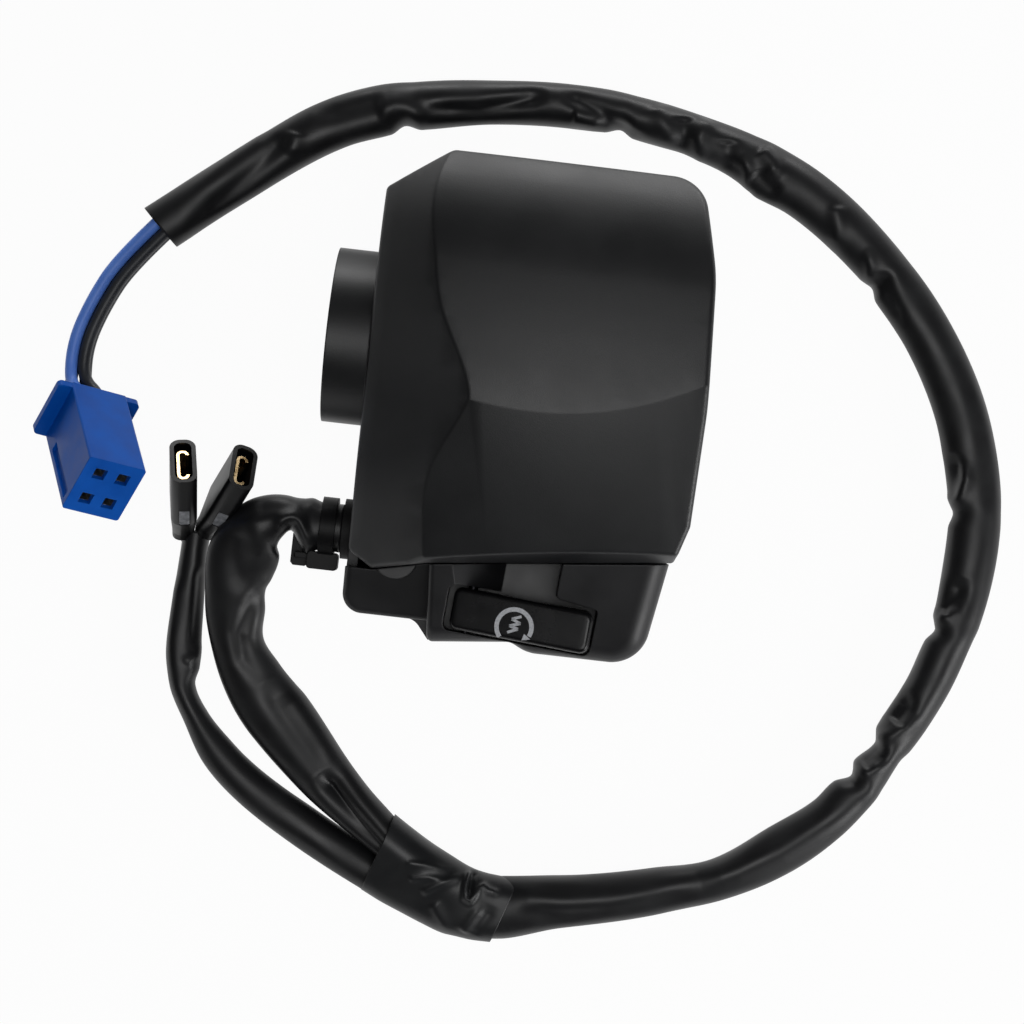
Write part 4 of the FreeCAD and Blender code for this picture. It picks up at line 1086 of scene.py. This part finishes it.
def make_brake_leads():
    """The two short leads from the branch sleeve into the spade covers."""
    end, before = Vector(branch_route[-1]), Vector(branch_route[-2])
    inward = (before - end).normalized()
    made = []
    for name, place, hand in (("left", spade_left, -1), ("right", spade_right, 1)):
        across = Vector((inward.y, -inward.x, 0)).normalized() * hand
        points = [
            end + inward * tape_in - across * brake_lead_side,
            in_stand(place, 0, 0, -spade_tail / 4),
            in_stand(place, 0, 0, spade_tail - brake_lead_gap),
        ]
        line = smooth_line([p * MM for p in points], brake_lead_step)
        piece = round_tube("brake_wire_" + name, line, lead_r, "wire_black")
        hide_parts("brake_lead_" + name)
        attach(piece, "housing")
        made.append(piece)
    return made


def make_window_highlights():
    """A pale plate in the recess of each spade cover, coloured as a painted highlight."""
    made = []
    heights = (cover_half - window_depth, cover_half - window_depth * window_top)
    x, z0 = window_half - window_gap, window_start + window_gap
    z1 = window_start + window_length - window_gap
    rim = window_corner
    outline = [(-x + rim, z0), (x - rim, z0), (x, z0 + rim), (x, z1 - rim),
               (x - rim, z1), (-x + rim, z1), (-x, z1 - rim), (-x, z0 + rim)]
    for name, place in (("left", spade_left), ("right", spade_right)):
        points = [in_stand(place, px, y, pz) * MM for y in heights for px, pz in outline]
        piece = flat_plate("spade_window_highlight_" + name, points, "spade_vinyl")
        piece.data.materials.clear()
        piece.data.materials.append(window_highlight_material)
        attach(piece, "housing")
        made.append(piece)
    return made


def make_tie_tail():
    """The cut end of the tie, which hangs flat below the sleeve."""
    left, right, top, low, corner = tail_left, tail_right, tail_top, tail_low, tail_corner
    outline = [(left, top), (left, low + corner), (left + corner, low),
               (right - corner, low), (right, low + corner), (right, top)]
    points = [mm(x, y, z) for z in (tail_z - tail_thick, tail_z) for x, y in outline]
    piece = flat_plate("cable_tie_tail", points, "tie_nylon")
    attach(piece, "housing")


def make_harness():
    near, near_line = make_near_sleeve()
    branch, branch_line = make_branch_sleeve()
    far, far_line = make_far_sleeve()
    tape = make_tape()
    leads = make_leads()
    for piece in [near, branch, far, tape] + [lead for lead, line in leads]:
        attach(piece, "housing")
    spades = ["spade_cover_left", "spade_cover_right", "spade_terminal_left", "spade_terminal_right"]
    on_branch = [NODES[name] for name in spades] + make_brake_leads() + make_window_highlights()


# The springs


def coil_line(low, high, turns):
    """A coil that fills a box, with a closed turn at each end, as points at even angles."""
    middle = (low + high) / 2
    radius = (high.x - low.x) / 2 - coil_wire_r * MM
    first, last = low.z + coil_wire_r * MM, high.z - coil_wire_r * MM
    closed = 2 * coil_wire_r * MM
    line = []
    for k in range(round(turns * coil_steps) + 1):
        turn = k / coil_steps
        z = first + turn * closed
        if turn > turns - 1:
            z = last - (turns - turn) * closed
        elif turn > 1:
            z = first + closed + (turn - 1) / (turns - 2) * (last - first - 2 * closed)
        angle = 2 * math.pi * turn
        line.append(Vector((middle.x + radius * math.cos(angle), middle.y + radius * math.sin(angle), z)))
    return line


def make_springs():
    """The return spring, which the plunger squeezes as it goes in, and the contact spring on it."""
    low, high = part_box("return_spring")
    line = coil_line(low, high, coil_turns)
    spring = round_tube("return_coil", line, coil_wire_r, "spring_steel", around=10)
    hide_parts("return_spring")
    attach(spring, "housing")
    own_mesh(spring)
    low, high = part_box("contact_spring")
    line = coil_line(low, high, coil_turns - 1)
    spring = round_tube("contact_coil", line, coil_wire_r, "spring_steel", around=10)
    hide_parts("contact_spring")
    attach(spring, "plunger")


# The symbol on the button


def on_button(right, up):
    """A point on the button's face, from its place in the picture round the symbol's middle."""
    turn = math.radians(camera_turn)
    x = symbol_x + right * math.cos(turn) - up * math.sin(turn)
    y = symbol_y + right * math.sin(turn) + up * math.cos(turn)
    lean = math.radians(button_turn)
    along = (x - button_x) * math.cos(lean) + (y - button_y) * math.sin(lean)
    z = button_z + along * math.tan(math.radians(button_lean))
    return x, y, z


def ribbon(path, width):
    """The two edges of a flat line along a path of (right, up) points."""
    left, right = [], []
    for i, (x, y) in enumerate(path):
        x0, y0 = path[max(i - 1, 0)]
        x1, y1 = path[min(i + 1, len(path) - 1)]
        long = math.hypot(x1 - x0, y1 - y0)
        nx, ny = -(y1 - y0) / long, (x1 - x0) / long
        left.append((x + nx * width / 2, y + ny * width / 2))
        right.append((x - nx * width / 2, y - ny * width / 2))
    return left + right[::-1]


def make_symbol():
    """The usual starter sign: an open circle that ends in an arrowhead, round a zigzag."""
    arc = []
    for k in range(arc_steps + 1):
        angle = math.radians(arc_start - k * (arc_start - arc_end) / arc_steps)
        arc.append((symbol_r * math.cos(angle), symbol_r * math.sin(angle)))
    bolt = [(1.49, 2.02), (-0.44, 1.54), (1.27, 0.66), (-0.92, 0.22), (0.77, -0.44), (-1.36, -1.05)]
    arrow = [(1.98, -1.36), (1.43, -2.64), (3.19, -2.46)]
    outlines = [("symbol_circle", ribbon(arc, symbol_line)), ("symbol_arrow", arrow)]
    for i in range(len(bolt) - 1):
        outlines.append(("symbol_bolt_%d" % i, ribbon([bolt[i], bolt[i + 1]], bolt_line)))
    points, faces = [], []
    for name, outline in outlines:
        count = len(outline)
        first = len(points)
        for lift in (ink_high, -ink_high):
            for right, up in outline:
                x, y, z = on_button(right, up)
                points.append(mm(x, y, z + lift))
        if name == "symbol_circle":
            half = count // 2
            for k in range(half - 1):
                faces.append((first + k, first + count - 1 - k, first + count - 2 - k, first + k + 1)[::-1])
                low = first + count
                faces.append((low + k, low + count - 1 - k, low + count - 2 - k, low + k + 1))
        else:
            faces.append(tuple(first + k for k in range(count)))
            faces.append(tuple(first + count + k for k in reversed(range(count))))
        for k in range(count):
            n = (k + 1) % count
            faces.append((first + k, first + count + k, first + count + n, first + n))
    piece = new_piece("button_symbol", points, faces, "button_plastic", smooth=False)
    piece.data.materials.clear()
    piece.data.materials.append(symbol_material)
    outward_faces(piece)
    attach(piece, "button")


def main():
    make_stage()
    dress_nodes()
    make_harness()
    make_tie_tail()
    make_springs()
    make_symbol()


main()
